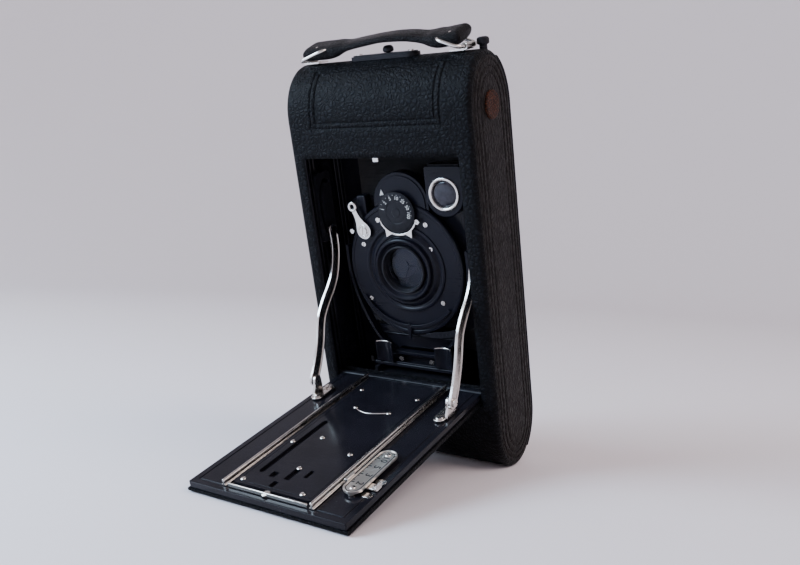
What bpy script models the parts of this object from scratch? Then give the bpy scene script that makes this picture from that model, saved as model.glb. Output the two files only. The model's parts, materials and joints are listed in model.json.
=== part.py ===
"""Folding roll-film hand camera, opened, resting on the front edge of its bed and on its lower rounded end.

The camera is drawn upright in its own frame, in millimetres: X across, Y from the front face to the back,
Z up along the body from its lower end. One empty, camera_frame, then leans the whole camera forward onto the
floor.
"""

import math

import bmesh
import bpy
from mathutils import Matrix, Vector

MM = 0.001
GAP = 0.3

# Body: a flat box whose upper and lower ends are half ellipses.
BODY_WIDTH = 100.0
BODY_DEPTH = 41.0
BODY_HEIGHT = 203.0
END_HEIGHT = 25.0
SIDE_THICK = 3.0
SHEET = 2.2
BACK_SPLIT = 31.0
BACK_THICK = 2.4
HALF_WIDTH = BODY_WIDTH / 2
INNER_HALF = HALF_WIDTH - SIDE_THICK - GAP
MID_DEPTH = BODY_DEPTH / 2
SPOOL_AXIS_HIGH = BODY_HEIGHT - 24.0
SPOOL_AXIS_LOW = 22.0
SPOOL_Y = MID_DEPTH - 1
SPOOL_PIN_END = 36.4

# Opening in the front and the bed that closes it.
OPENING_HALF = 42.4
OPENING_BOTTOM = 39.9
OPENING_TOP = 160.0
BED_HALF = 41.7
BED_THICK = 5.0
BED_TOP = 45.3
BED_LENGTH = 110.4
HINGE_Z = 44.5
HINGE_Y = HINGE_Z - (BED_TOP - BED_THICK)
LIP_RADIUS = HINGE_Y
ROD_RADIUS = 1.2

# Track: a raised plate and two rails, on the bed and again inside the body.
TRACK_HALF = 21.0
TRACK_THICK = 1.0
RAIL_X = 23.0
RAIL_WIDTH = 2.0
RAIL_HEIGHT = 2.8
RAIL_TOP = BED_TOP + GAP + RAIL_HEIGHT
INNER_TRACK_Y = 9.0

# Braces: their lower pivots on the bed, their upper pins in slots on the body's inner walls.
BRACE_X = 39.6
BRACE_THICK = 1.4
BRACE_WIDTH = 6.2
PIVOT_Y = -22.0
PIVOT_Z = 52.5
PIN_Y = 9.0
PIN_Z = 121.0
PIN_RADIUS = 1.0
SLOT_HALF = 1.3
BRACE_RATIO = 1.25
GUIDE_X = 41.7
GUIDE_THICK = 1.5
GUIDE_TOP = 151.0

# Lens standard, pushed back into the body.
LENS_Z = 102.5
BOARD_Y = 20.0
BOARD_THICK = 1.6
BOARD_HALF = 33.0
SHUTTER_FACE_Y = 12.5
SHUTTER_HALF = 32.3
SHUTTER_TALL = 34.3
SHUTTER_Z = 102.0
DIAL_Z = 131.5
DIAL_RADIUS = 10.2
FINDER_X = 27.0
FINDER_Z = 140.6
FINDER_HALF = 9.8
LEVER_X = -20.7
LEVER_Z = 121.5

# Film path at the back of the body.
FILM_GATE_Y = 34.6
ROLLER_Y = 33.2
GATE_HALF = 31.75
GATE_LOW = 51.0
GATE_HIGH = 159.0
WINDOW_Z = 60.0

# Carrying handle on the upper end.
STRAP_WIDTH = 15.0
STRAP_THICK = 4.0
LOOP_WIRE = 0.8

# The whole camera leans forward until the bed's front lower edge touches the floor.
END_CENTRE = (MID_DEPTH, END_HEIGHT)
BED_TIP = (-BED_LENGTH, BED_TOP - BED_THICK)

ARC_STEPS = 10
ROUND_STEPS = 28
SMALL_STEPS = 16


# ---------------------------------------------------------------- outlines

def circle(centre, radius, steps=ROUND_STEPS, squash=1.0):
    """Points of a circle, or of an ellipse when squash scales the second coordinate."""
    turns = [2 * math.pi * i / steps for i in range(steps)]
    return [(centre[0] + radius * math.cos(t), centre[1] + squash * radius * math.sin(t)) for t in turns]


def arc(centre, radius, start, end, steps=ARC_STEPS):
    """Points of an arc from one angle to another, in degrees."""
    angles = [math.radians(start + (end - start) * i / steps) for i in range(steps + 1)]
    return [(centre[0] + radius * math.cos(t), centre[1] + radius * math.sin(t)) for t in angles]


def rectangle(low_u, high_u, low_v, high_v, radius=0.0, steps=3):
    """A rectangle, with rounded corners where a radius is given."""
    if not radius:
        return [(low_u, low_v), (high_u, low_v), (high_u, high_v), (low_u, high_v)]
    corners = [(high_u - radius, high_v - radius, 0), (low_u + radius, high_v - radius, 90),
               (low_u + radius, low_v + radius, 180), (high_u - radius, low_v + radius, 270)]
    return [p for u, v, turn in corners for p in arc((u, v), radius, turn, turn + 90, steps)]


def stroke(path, half, steps=5):
    """The outline of a line of even width with round ends."""
    path = [Vector(p) for p in path]
    left, right = [], []
    for i, point in enumerate(path):
        ahead = path[min(i + 1, len(path) - 1)] - path[max(i - 1, 0)]
        side = Vector((-ahead.y, ahead.x)).normalized() * half
        left.append(point + side)
        right.append(point - side)

    def cap(centre, edge):
        turns = [-math.pi * i / steps for i in range(1, steps)]
        return [centre + Matrix.Rotation(t, 2) @ edge for t in turns]

    start_cap = cap(path[0], right[0] - path[0])
    end_cap = cap(path[-1], left[-1] - path[-1])
    outline = left + end_cap + right[::-1] + start_cap
    return [(p.x, p.y) for p in outline]


def end_rise(y, inset):
    """Height of the rounded end above its base, at a depth y, for a line inset from the outside."""
    across = (y - MID_DEPTH) / (MID_DEPTH - inset)
    return (END_HEIGHT - inset) * math.sqrt(max(0.0, 1 - across * across))


def end_curve(y_from, y_to, inset, steps=ARC_STEPS):
    """Points (y, rise) along the rounded end between two depths."""
    reach = MID_DEPTH - inset
    start, stop = (math.acos(max(-1.0, min(1.0, (MID_DEPTH - y) / reach))) for y in (y_from, y_to))
    angles = [start + (stop - start) * i / steps for i in range(steps + 1)]
    depths = [MID_DEPTH - reach * math.cos(t) for t in angles]
    return [(y, end_rise(y, inset)) for y in depths]


def upper_end(points):
    return [(y, BODY_HEIGHT - END_HEIGHT + rise) for y, rise in points]


def lower_end(points):
    return [(y, END_HEIGHT - rise) for y, rise in points]


# ---------------------------------------------------------------- meshes, in millimetres

def evaluated_copy(obj):
    """A new mesh holding an object as its modifiers leave it; the object itself is removed."""
    bpy.context.view_layer.update()
    mesh = bpy.data.meshes.new_from_object(obj.evaluated_get(bpy.context.evaluated_depsgraph_get()))
    bpy.data.objects.remove(obj)
    return mesh


def tidy(mesh):
    """Joins points that coincide and turns every face outwards."""
    shape = bmesh.new()
    shape.from_mesh(mesh)
    bmesh.ops.remove_doubles(shape, verts=shape.verts, dist=0.001)
    bmesh.ops.dissolve_degenerate(shape, edges=shape.edges, dist=0.001)
    bmesh.ops.recalc_face_normals(shape, faces=shape.faces)
    shape.to_mesh(mesh)
    shape.free()
    return mesh


def extrude(outline, axis, low, high, holes=()):
    """A flat plate: an outline, less its holes, drawn out along an axis.

    Outlines are (y, z) for axis X, (x, z) for axis Y and (x, y) for axis Z.
    """
    curve = bpy.data.curves.new("outline", "CURVE")
    curve.dimensions = "2D"
    curve.fill_mode = "BOTH"
    curve.extrude = (high - low) / 2
    for points in (outline, *holes):
        spline = curve.splines.new("POLY")
        spline.points.add(len(points) - 1)
        for place, (u, v) in zip(spline.points, points):
            place.co = (u, v, 0, 1)
        spline.use_cyclic_u = True
    guide = bpy.data.objects.new("outline", curve)
    bpy.context.scene.collection.objects.link(guide)
    mesh = evaluated_copy(guide)
    turns = {
        "X": Matrix(((0, 0, 1, 0), (1, 0, 0, 0), (0, 1, 0, 0), (0, 0, 0, 1))),
        "Y": Matrix(((1, 0, 0, 0), (0, 0, -1, 0), (0, 1, 0, 0), (0, 0, 0, 1))),
        "Z": Matrix.Identity(4),
    }
    middle = (high + low) / 2
    mesh.transform(Matrix.Translation((0, 0, -middle if axis == "Y" else middle)))
    mesh.transform(turns[axis])
    return tidy(mesh)


def turned(profile, axis, centre, steps=ROUND_STEPS, ring=False):
    """A solid of revolution. The profile holds (radius, place along the axis) points.

    A ring's profile closes on itself; any other starts and ends on the axis.
    """
    shape = bmesh.new()
    points = [shape.verts.new((radius, 0, along)) for radius, along in profile]
    pairs = list(zip(points, points[1:]))
    if ring:
        pairs.append((points[-1], points[0]))
    edges = [shape.edges.new(pair) for pair in pairs]
    bmesh.ops.spin(shape, geom=points + edges, cent=(0, 0, 0), axis=(0, 0, 1), angle=2 * math.pi,
                   steps=steps, use_merge=True, use_duplicate=False)
    mesh = bpy.data.meshes.new("turned")
    shape.to_mesh(mesh)
    shape.free()
    turns = {
        "X": Matrix.Rotation(math.radians(90), 4, "Y"),
        "Y": Matrix.Rotation(math.radians(-90), 4, "X"),
        "Z": Matrix.Identity(4),
    }
    mesh.transform(Matrix.Translation(centre) @ turns[axis])
    return tidy(mesh)


def disc(axis, centre, radius, low, high, steps=ROUND_STEPS):
    """A plain cylinder between two places along its axis."""
    return turned([(0, low), (radius, low), (radius, high), (0, high)], axis, centre, steps)


def tube(path, radius, closed=False, sides=2):
    """Round wire along a path."""
    curve = bpy.data.curves.new("wire", "CURVE")
    curve.dimensions = "3D"
    curve.bevel_depth = radius
    curve.bevel_resolution = sides
    curve.use_fill_caps = True
    spline = curve.splines.new("POLY")
    spline.points.add(len(path) - 1)
    for place, point in zip(spline.points, path):
        place.co = (*point, 1)
    spline.use_cyclic_u = closed
    guide = bpy.data.objects.new("wire", curve)
    bpy.context.scene.collection.objects.link(guide)
    return tidy(evaluated_copy(guide))


def combined(base, others, operation):
    """One mesh made from several by a Boolean."""
    for other in others:
        body = bpy.data.objects.new("body", base)
        tool = bpy.data.objects.new("tool", other)
        for obj in (body, tool):
            bpy.context.scene.collection.objects.link(obj)
        step = body.modifiers.new("combine", "BOOLEAN")
        step.operation = operation
        step.object = tool
        base = evaluated_copy(body)
        bpy.data.objects.remove(tool)
    return tidy(base)


def joined(base, *others):
    return combined(base, others, "UNION")


def cut(base, *others):
    return combined(base, others, "DIFFERENCE")


# ---------------------------------------------------------------- objects

def material(name, colour, roughness, metallic=0.0):
    made = bpy.data.materials.new(name)
    made.use_nodes = True
    surface = made.node_tree.nodes["Principled BSDF"]
    surface.inputs["Base Color"].default_value = (*colour, 1.0)
    surface.inputs["Roughness"].default_value = roughness
    surface.inputs["Metallic"].default_value = metallic
    made.diffuse_color = (*colour, 1.0)
    return made


def leather(name):
    return material(name, (0.030, 0.032, 0.038), 0.6)


def enamel(name):
    return material(name, (0.010, 0.011, 0.016), 0.25)


def nickel(name):
    return material(name, (0.62, 0.60, 0.56), 0.3, 1.0)


def black_metal(name):
    return material(name, (0.02, 0.02, 0.022), 0.45, 0.3)


class Pivot:
    """An empty on a joint's axis, which carries everything that turns or slides with it."""

    def __init__(self, name, place=(0.0, 0.0, 0.0), parent=None):
        self.place = Vector(place)
        self.empty = bpy.data.objects.new(name, None)
        self.empty.empty_display_size = 0.01
        bpy.context.scene.collection.objects.link(self.empty)
        offset = self.place - parent.place if parent else self.place
        self.empty.location = offset * MM
        if parent:
            self.empty.parent = parent.empty


def solid(name, mesh, finish, pivot, sharp=35.0):
    """Places a mesh drawn in the camera's frame as a named object under a pivot."""
    mesh.transform(Matrix.Scale(MM, 4) @ Matrix.Translation(-pivot.place))
    mesh.name = name
    mesh.shade_smooth()
    mesh.set_sharp_from_angle(angle=math.radians(sharp))
    mesh.materials.clear()
    mesh.materials.append(finish(name))
    obj = bpy.data.objects.new(name, mesh)
    obj.parent = pivot.empty
    bpy.context.scene.collection.objects.link(obj)
    return obj


# ---------------------------------------------------------------- body

def case_front(body):
    outside = rectangle(-INNER_HALF, INNER_HALF, END_HEIGHT + GAP, BODY_HEIGHT - END_HEIGHT - GAP)
    opening = rectangle(-OPENING_HALF, OPENING_HALF, OPENING_BOTTOM, OPENING_TOP)
    solid("case_front", extrude(outside, "Y", 0, SHEET, [opening]), leather, body)


def case_side(body, name, side):
    """A side panel. Behind the split line it steps in, to let the back cover slide over it."""
    outer = end_curve(0, BACK_SPLIT, 0)
    inner = end_curve(BACK_SPLIT, BODY_DEPTH - BACK_THICK - GAP, BACK_THICK + GAP)
    outline = upper_end(outer + inner) + lower_end(outer + inner)[::-1]
    low, high = sorted((side * (HALF_WIDTH - SIDE_THICK), side * HALF_WIDTH))
    panel = extrude(outline, "X", low, high)
    pin_from, pin_to = sorted((side * SPOOL_PIN_END, side * (HALF_WIDTH - 1)))
    heights = [SPOOL_AXIS_LOW] if side < 0 else [SPOOL_AXIS_LOW, SPOOL_AXIS_HIGH]
    pins = [disc("X", (0, SPOOL_Y, z), 2.0, pin_from, pin_to, SMALL_STEPS) for z in heights]
    panel = joined(panel, *pins)
    if side < 0:
        panel = cut(panel, key_hole(SPOOL_AXIS_HIGH))
    solid(name, panel, leather, body)


def case_end(body, name, place):
    """The curved end wall in front of the back cover's split line."""
    outer = end_curve(0, BACK_SPLIT - GAP, 0)
    inner = end_curve(SHEET, BACK_SPLIT - GAP, SHEET)
    outline = place(outer + inner[::-1])
    solid(name, extrude(outline, "X", -INNER_HALF, INNER_HALF), leather, body)


def chamber_walls(body):
    """Partitions between the bellows space and the two film chambers."""
    depth = (SHEET + GAP, FILM_GATE_Y - GAP)
    low = rectangle(-INNER_HALF, INNER_HALF, *depth)
    solid("chamber_wall_upper", extrude(low, "Z", OPENING_TOP + 2.0, OPENING_TOP + 3.2), enamel, body)
    solid("chamber_wall_lower", extrude(low, "Z", 36.6, 37.8), enamel, body)


def film_gate(body):
    """The frame that masks one picture, between the film chambers."""
    outside = rectangle(-INNER_HALF, INNER_HALF, 41.0, 167.0)
    window = rectangle(-GATE_HALF, GATE_HALF, GATE_LOW, GATE_HIGH)
    solid("film_gate", extrude(outside, "Y", FILM_GATE_Y, FILM_GATE_Y + 1.4, [window]), black_metal, body)


def guide_roller(body, name, z):
    """A roller on its own pins, which turns as film runs over the end of the gate."""
    pivot = Pivot(name + "_axis", (0, ROLLER_Y, z), body)
    end, shoulder = 43.5, 41.0
    core, pin = 1.9, 0.8
    profile = [(0, -end), (pin, -end), (pin, -shoulder), (core, -shoulder), (core, shoulder), (pin, shoulder),
               (pin, end), (0, end)]
    solid(name, turned(profile, "X", (0, ROLLER_Y, z), SMALL_STEPS), nickel, pivot)


def pin_place(share):
    """Where a brace's upper pin stands in the body as the bed goes from open, 0, to closed, 1."""
    turn = math.radians(-90 * share)
    arm = Matrix.Rotation(turn, 2) @ Vector((PIVOT_Y - HINGE_Y, PIVOT_Z - HINGE_Z))
    link = Matrix.Rotation(turn * (1 - BRACE_RATIO), 2) @ Vector((PIN_Y - PIVOT_Y, PIN_Z - PIVOT_Z))
    return (HINGE_Y + arm.x + link.x, HINGE_Z + arm.y + link.y)


def brace_guide(body, name, side):
    """A plate on the inner wall, with the hooked slot that a brace's upper pin runs in."""
    path = [pin_place(i / 12) for i in range(13)]
    outside = rectangle(BED_THICK + 0.5, 16.9, PIN_Z - 5, GUIDE_TOP, 1.5)
    low, high = sorted((side * GUIDE_X, side * (GUIDE_X + GUIDE_THICK)))
    runs = [extrude(stroke(part, SLOT_HALF), "X", low - 1, high + 1) for part in (path[:10], path[8:])]
    plate = cut(extrude(outside, "X", low, high), *runs)
    low, high = sorted((side * (GUIDE_X + 0.8), side * (INNER_HALF + GAP)))
    feet = [extrude(rectangle(12.0, 15.0, z, z + 2), "X", low, high) for z in (PIN_Z - 4.5, GUIDE_TOP - 2.4)]
    solid(name, joined(plate, *feet), black_metal, body)


def inner_track(body):
    """The short run of track inside the body, in line with the bed's."""
    run = (INNER_TRACK_Y, FILM_GATE_Y - GAP)
    half = RAIL_WIDTH / 2
    floor = extrude(rectangle(-TRACK_HALF - 4, TRACK_HALF + 4, *run), "Z", BED_TOP - 2.0, BED_TOP)
    rails = [extrude(rectangle(x - half, x + half, *run), "Z", BED_TOP - 0.5, RAIL_TOP)
             for x in (-RAIL_X, RAIL_X)]
    legs = [extrude(rectangle(x - 2, x + 2, 14, 30), "Z", 38.1, BED_TOP - 1.5) for x in (-18, 18)]
    solid("inner_track", joined(floor, *rails, *legs), black_metal, body)


def bed_catch(body):
    """The spring latch that holds the closed bed at the top of the opening."""
    plate = extrude(rectangle(-12, 0, 4.0, 14.0, 1.5), "Z", OPENING_TOP + 0.3, OPENING_TOP + 1.3)
    hook = extrude([(7.2, 156.6), (9.0, 157.2), (9.0, 161.0), (7.2, 161.0)], "X", -9, -3)
    solid("bed_catch", joined(plate, hook), nickel, body)


def hinge_rod(body):
    """The rod the bed turns on, held in the two side panels' inner faces."""
    rod = disc("X", (0, HINGE_Y, HINGE_Z), ROD_RADIUS, -INNER_HALF, INNER_HALF, SMALL_STEPS)
    solid("bed_hinge_rod", rod, nickel, body)


def spindle_cap(body):
    """A round cap over the spool's bearing on the right side panel."""
    rim = [(0, HALF_WIDTH + GAP), (6.4, HALF_WIDTH + GAP), (6.4, HALF_WIDTH + 0.8), (5.9, HALF_WIDTH + 1.1),
           (0, HALF_WIDTH + 1.1)]
    solid("spindle_cap", turned(rim, "X", (0, MID_DEPTH, SPOOL_AXIS_HIGH)), leather, body)


# ---------------------------------------------------------------- film transport

def spool(name, pivot, z):
    """A film spool: a wooden core between two flanges, with film paper wound on it."""
    outside, inside = 33.0, 32.1
    flange, roll, core = 9.5, 6.5, 2.2
    end = outside + 3.0
    half = [(roll, inside), (flange, inside), (flange, outside), (core, outside), (core, end), (0, end)]
    profile = [(radius, -along) for radius, along in reversed(half)] + half
    solid(name, turned(profile, "X", (0, SPOOL_Y, z), 20), black_metal, pivot)


def winding_key(pivot, z):
    """The flat key on the left side, whose shaft drives the take-up spool."""
    y = SPOOL_Y
    shaft = disc("X", (0, y, z), 2.0, -HALF_WIDTH - 2.0, -SPOOL_PIN_END, SMALL_STEPS)
    boss = disc("X", (0, y, z), 6.0, -HALF_WIDTH - 2.6, -HALF_WIDTH - 0.5, 20)
    wing = extrude(stroke([(y, z - 6.5), (y, z + 6.5)], 2.6), "X", -HALF_WIDTH - 7.5, -HALF_WIDTH - 2.2)
    solid("winding_key", joined(boss, shaft, wing), nickel, pivot)


def key_hole(z):
    """Clearance for the key's shaft through the left side panel."""
    return disc("X", (0, SPOOL_Y, z), 2.4, -HALF_WIDTH - 1, -HALF_WIDTH + SIDE_THICK + 1, SMALL_STEPS)


# ---------------------------------------------------------------- back cover

def back_cover(back):
    """The removable back: one sheet that wraps round both ends."""
    y_start = BACK_SPLIT + GAP
    outer = end_curve(y_start, BODY_DEPTH, 0)
    inner = end_curve(y_start, BODY_DEPTH - BACK_THICK, BACK_THICK)
    outline = upper_end(outer) + lower_end(outer)[::-1] + lower_end(inner) + upper_end(inner)[::-1]
    sheet = extrude(outline, "X", -HALF_WIDTH, HALF_WIDTH)
    window = disc("Y", (0, 0, WINDOW_Z), 4.6, BODY_DEPTH - 6, BODY_DEPTH + 1, 20)
    solid("back_cover", cut(sheet, window), leather, back)


def frame_window(back):
    """The small dark red window through which the film's frame numbers are read."""
    y = BODY_DEPTH
    inner = y - BACK_THICK + 0.2
    profile = [(0, inner), (4.2, inner), (4.2, y + 0.6), (3.4, y + 0.6), (3.1, y - 0.6), (0, y - 0.6)]
    solid("frame_window", turned(profile, "Y", (0, 0, WINDOW_Z), 20), ruby, back)


def ruby(name):
    return material(name, (0.25, 0.01, 0.01), 0.15)


def pressure_plate(back):
    """The sprung plate behind the film."""
    plate = rectangle(-34, 34, 66, 155, 3)
    solid("pressure_plate", extrude(plate, "Y", 37.0, 38.2), black_metal, back)


# ---------------------------------------------------------------- handle

STRAP_LINE = ((-45.6, 208.8), (-43.0, 208.9), (-37.0, 209.0), (-31.0, 209.0), (-26.0, 209.5), (-14.0, 210.9),
              (0.0, 212.0), (12.0, 211.6), (22.0, 210.2), (26.0, 209.4), (30.0, 209.1), (35.0, 209.1),
              (40.6, 209.3))
LUG_HEIGHT = 204.8
LUG_RADIUS = 1.6
LOOP_BARS = {"left": (-45.6, -31.0, 209.0), "right": (41.4, 30.0, 209.1)}


def handle(body):
    """The leather strap, arched between two wire loops that pass through its folded ends."""
    y_low = MID_DEPTH - STRAP_WIDTH / 2
    y_high = MID_DEPTH + STRAP_WIDTH / 2
    folds = [circle((inner, height), LOOP_WIRE + 0.5, 12) for _, inner, height in LOOP_BARS.values()]
    strap = extrude(stroke(STRAP_LINE, STRAP_THICK / 2), "Y", y_low, y_high, folds)
    solid("handle_strap", strap, leather, body)
    for side, (outer, inner, height) in LOOP_BARS.items():
        flat = rectangle(min(outer, inner), max(outer, inner), y_low - 2.0, y_high + 2.0, 3.0, 4)
        slope = (height - LUG_HEIGHT) / (inner - outer)
        wire = [(x, y, LUG_HEIGHT + slope * (x - outer)) for x, y in flat]
        solid("handle_loop_" + side, tube(wire, LOOP_WIRE, True), nickel, body)
        handle_lug(body, "handle_lug_" + side, outer, math.copysign(1, outer))


def handle_lug(body, name, x, side):
    """A rolled plate fixed to the upper end, round the loop's outer bar."""
    bore = circle((x, LUG_HEIGHT), LOOP_WIRE + GAP, SMALL_STEPS)
    barrel = extrude(circle((x, LUG_HEIGHT), LUG_RADIUS, SMALL_STEPS), "Y", 16.5, 24.5, [bore])
    low, high = sorted((x - side * 0.4, x - side * 7.5))
    foot = extrude(rectangle(low, high, 16.5, 24.5), "Z", 203.1, 203.8)
    solid(name, joined(barrel, foot), nickel, body)


def top_plate(body):
    """The plate under the handle in which the back's latch slides."""
    outside = stroke([(-16, MID_DEPTH), (12, MID_DEPTH)], 4.5)
    slot = stroke([(-4, MID_DEPTH), (4, MID_DEPTH)], 1.3)
    solid("latch_plate", extrude(outside, "Z", 203.3, 204.9, [slot]), black_metal, body)


def latch_knob(body):
    """The knob that slides along the plate to free the back."""
    pivot = Pivot("latch_slide", (0, MID_DEPTH, 205), body)
    stem, base, top = 203.4, 205.2, 208.4
    profile = [(0, stem), (1.0, stem), (1.0, base), (2.1, base), (2.6, base + 1.0), (2.3, top - 0.6),
               (1.2, top), (0, top)]
    solid("latch_knob", turned(profile, "Z", (0, MID_DEPTH, 0), SMALL_STEPS), black_metal, pivot)


def back_button(body):
    """The small knob at the right rear that takes the second hook of the back."""
    y = 26.8
    base = BODY_HEIGHT - END_HEIGHT + end_rise(y, 0) + 0.8
    top = base + 5.2
    profile = [(0, base), (1.8, base), (1.8, base + 1.6), (2.8, base + 2.2), (2.8, top - 1.0), (2.0, top),
               (0, top)]
    solid("back_button", turned(profile, "Z", (45.4, y, 0), SMALL_STEPS), black_metal, body)


# ---------------------------------------------------------------- bed

def bed_panel(bed):
    """The hinged front. Its rear edge is rounded about the hinge rod, which runs through it."""
    low, high = BED_TOP - BED_THICK, BED_TOP
    chamfer = 1.2
    relief = 0.2
    tip = -BED_LENGTH
    bore = ROD_RADIUS + GAP
    past = BED_HALF + 1
    rear = arc((HINGE_Y, HINGE_Z), LIP_RADIUS - relief, -90, 0, 8)
    outline = [(tip, high - chamfer), (tip, low + 0.4), (tip + 0.4, low), (-1.2, low), (-0.8, low + relief),
               *rear, (HINGE_Y + LIP_RADIUS - relief, high), (tip + chamfer, high)]
    slab = extrude(outline, "X", -BED_HALF, BED_HALF)
    tunnel = extrude(circle((HINGE_Y, HINGE_Z), bore, SMALL_STEPS), "X", -past, past)
    slit = extrude(rectangle(HINGE_Y - bore, HINGE_Y + bore, HINGE_Z, high + 1), "X", -past, past)
    solid("bed_panel", cut(slab, tunnel, slit), enamel, bed)


def bed_track(bed):
    """The raised plate on the bed, with the long slot for the focus stop's tail."""
    outside = rectangle(-TRACK_HALF, TRACK_HALF, -104.0, 0.8, 2.0)
    slot = stroke([(-11.5, -92.0), (-11.5, -52.0)], 1.6)
    plate = extrude(outside, "Z", BED_TOP + GAP, BED_TOP + GAP + TRACK_THICK, [slot])
    solid("bed_track", plate, enamel, bed)


def bed_rail(bed, name, x):
    """One of the two rails that the standard slides along."""
    low = BED_TOP + GAP
    foot, waist, head = 1.6, 0.9, 0.5
    half = [(foot, 0.0), (foot, 0.7), (waist, 1.0), (waist, 2.3), (head, RAIL_HEIGHT)]
    section = [(x + a, low + b) for a, b in half] + [(x - a, low + b) for a, b in reversed(half)]
    solid(name, extrude(section, "Y", -107.0, 0.8), nickel, bed)


def cross_strip(bed):
    """The nickel strip that joins the rails' front ends, with its small tab."""
    low = BED_TOP + GAP
    strip = extrude(rectangle(-RAIL_X + 2.2, RAIL_X - 2.2, -107.0, -105.8), "Z", low, low + 2.2)
    tab = extrude(rectangle(-3.0, 1.0, -106.0, -104.3), "Z", low, low + 1.0)
    solid("cross_strip", joined(strip, tab), nickel, bed)


SCALE_X = 31.4
SCALE_HALF = 4.4
SCALE_ENDS = (-94.4, -61.2)


def focus_scale(bed):
    """The distance scale: a long plate with rounded ends on two short posts."""
    low = BED_TOP + 0.15
    front, back = SCALE_ENDS
    plate = extrude(stroke([(SCALE_X, front + SCALE_HALF), (SCALE_X, back - SCALE_HALF)], SCALE_HALF, 8),
                    "Z", low + 1.2, low + 2.4)
    posts = [extrude(circle((SCALE_X, y), 1.6, 12), "Z", low, low + 1.8) for y in (front + 2.4, back - 2.4)]
    solid("focus_scale", joined(plate, *posts), nickel, bed)


def focus_stop(bed):
    """The stop that sets the distance: a tongue under the scale, with a finger tab at each side of it."""
    front, back = -88.0, -83.0
    pivot = Pivot("focus_stop_slide", (SCALE_X, (front + back) / 2, BED_TOP + 0.8), bed)
    low = BED_TOP + 0.3
    left, right = SCALE_X - 6.2, SCALE_X + 9.0
    tongue = extrude(rectangle(left, right - 0.4, front, back, 0.8), "Z", low, low + 0.75)
    left_tab = extrude(rectangle(left, left + 1.4, front, back), "Z", low, low + 2.8)
    right_tab = extrude(rectangle(right - 1.0, right, front, back), "Z", low, low + 2.4)
    solid("focus_stop", joined(tongue, left_tab, right_tab), nickel, pivot)


def brace_bracket(bed, name, side):
    """The foot on the bed that carries a brace's lower pivot."""
    face = BRACE_X - BRACE_THICK / 2 - GAP
    low, high = sorted((side * face, side * (face - 1.4)))
    ear = extrude(stroke([(PIVOT_Y, BED_TOP + 1.5), (PIVOT_Y, PIVOT_Z)], 2.8), "X", low, high)
    foot_x = side * (BRACE_X - 4.6)
    foot = extrude(stroke([(foot_x, -27.0), (foot_x, -16.5)], 2.9), "Z", BED_TOP + GAP, BED_TOP + 1.4)
    trim = extrude(rectangle(-60, 60, -40, 0), "Z", BED_TOP - 6, BED_TOP + GAP)
    rivet = disc("X", (0, PIVOT_Y, PIVOT_Z), 1.1, BRACE_X - 2.2, BRACE_X + BRACE_THICK / 2 + 0.9, SMALL_STEPS)
    if side < 0:
        rivet.transform(Matrix.Rotation(math.pi, 4, "Z") @ Matrix.Translation((0, -2 * PIVOT_Y, 0)))
    solid(name, cut(joined(ear, foot, tidy(rivet)), trim), nickel, bed)


BRACE_BENDS = ((0.0, 0.0), (0.09, -0.9), (0.18, -1.2), (0.27, -0.9), (0.35, 0.0), (0.43, 0.1), (0.53, -2.0),
               (0.61, -4.4), (0.69, -5.9), (0.79, -5.7), (0.9, -3.8), (1.0, 0.0))


def brace(bed, name, side):
    """A folding brace: a flat S-shaped bar with a hole at its foot and a pin at its head."""
    pivot = Pivot(name + "_pivot", (side * BRACE_X, PIVOT_Y, PIVOT_Z), bed)
    foot, head = Vector((PIVOT_Y, PIVOT_Z)), Vector((PIN_Y, PIN_Z))
    along = head - foot
    across = Vector((-along.y, along.x)).normalized()
    curve = smooth_line([foot + along * share + across * bend for share, bend in BRACE_BENDS], 3)
    low, high = BRACE_X - BRACE_THICK / 2, BRACE_X + BRACE_THICK / 2
    bar = extrude(stroke(curve, BRACE_WIDTH / 2), "X", low, high, [circle(foot, 1.35, SMALL_STEPS)])
    pin = disc("X", (0, PIN_Y, PIN_Z), PIN_RADIUS, high - 0.4, GUIDE_X + GUIDE_THICK - 0.1, SMALL_STEPS)
    mesh = joined(bar, pin)
    if side < 0:
        mesh.transform(Matrix.Scale(-1, 4, (1, 0, 0)))
    solid(name, tidy(mesh), nickel, pivot)


def smooth_line(points, steps):
    """A Catmull-Rom curve through a list of points."""
    points = [points[0], *points, points[-1]]
    line = []
    for a, b, c, d in zip(points, points[1:], points[2:], points[3:]):
        for i in range(steps):
            t = i / steps
            line.append(0.5 * (2 * b + (c - a) * t + (2 * a - 5 * b + 4 * c - d) * t * t
                               + (3 * b - a - 3 * c + d) * t * t * t))
    return line + [points[-1]]


# ---------------------------------------------------------------- lens standard

def standard_base(standard):
    """The carriage that runs on the rails and carries the standard."""
    low = RAIL_TOP + GAP
    plate = extrude(rectangle(-26, 26, 11.5, 30.0, 1.5), "Z", low, low + 1.8)
    post = extrude(rectangle(-24, 24, low + 1.0, 69.0), "Y", 17.6, 19.4)
    web = extrude(stroke([(-10, 56.0), (10, 56.0)], 1.8), "Y", 17.0, 20.0)
    solid("standard_base", cut(joined(plate, post), web), enamel, standard)


def standard_frame(standard):
    """The frame that rises from the carriage on both sides of the shutter."""
    half = [(-34.2, 112.0), (-34.3, 102.0), (-32.6, 90.0), (-28.6, 77.5), (-21.8, 64.5), (-13.0, 56.0)]
    path = smooth_line([Vector(p) for p in half], 4)
    path += [Vector((-p.x, p.y)) for p in reversed(path)]
    solid("standard_frame", extrude(stroke(path, 0.75), "Y", 13.2, 17.2), enamel, standard)


def lens_board(standard):
    """The plate behind the shutter, which the front of the bellows is fixed to."""
    outside = rectangle(-BOARD_HALF, BOARD_HALF, 70.0, 137.0, 6.0)
    hole = circle((0, LENS_Z), 13.0)
    solid("lens_board", extrude(outside, "Y", BOARD_Y, BOARD_Y + BOARD_THICK, [hole]), enamel, standard)


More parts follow.
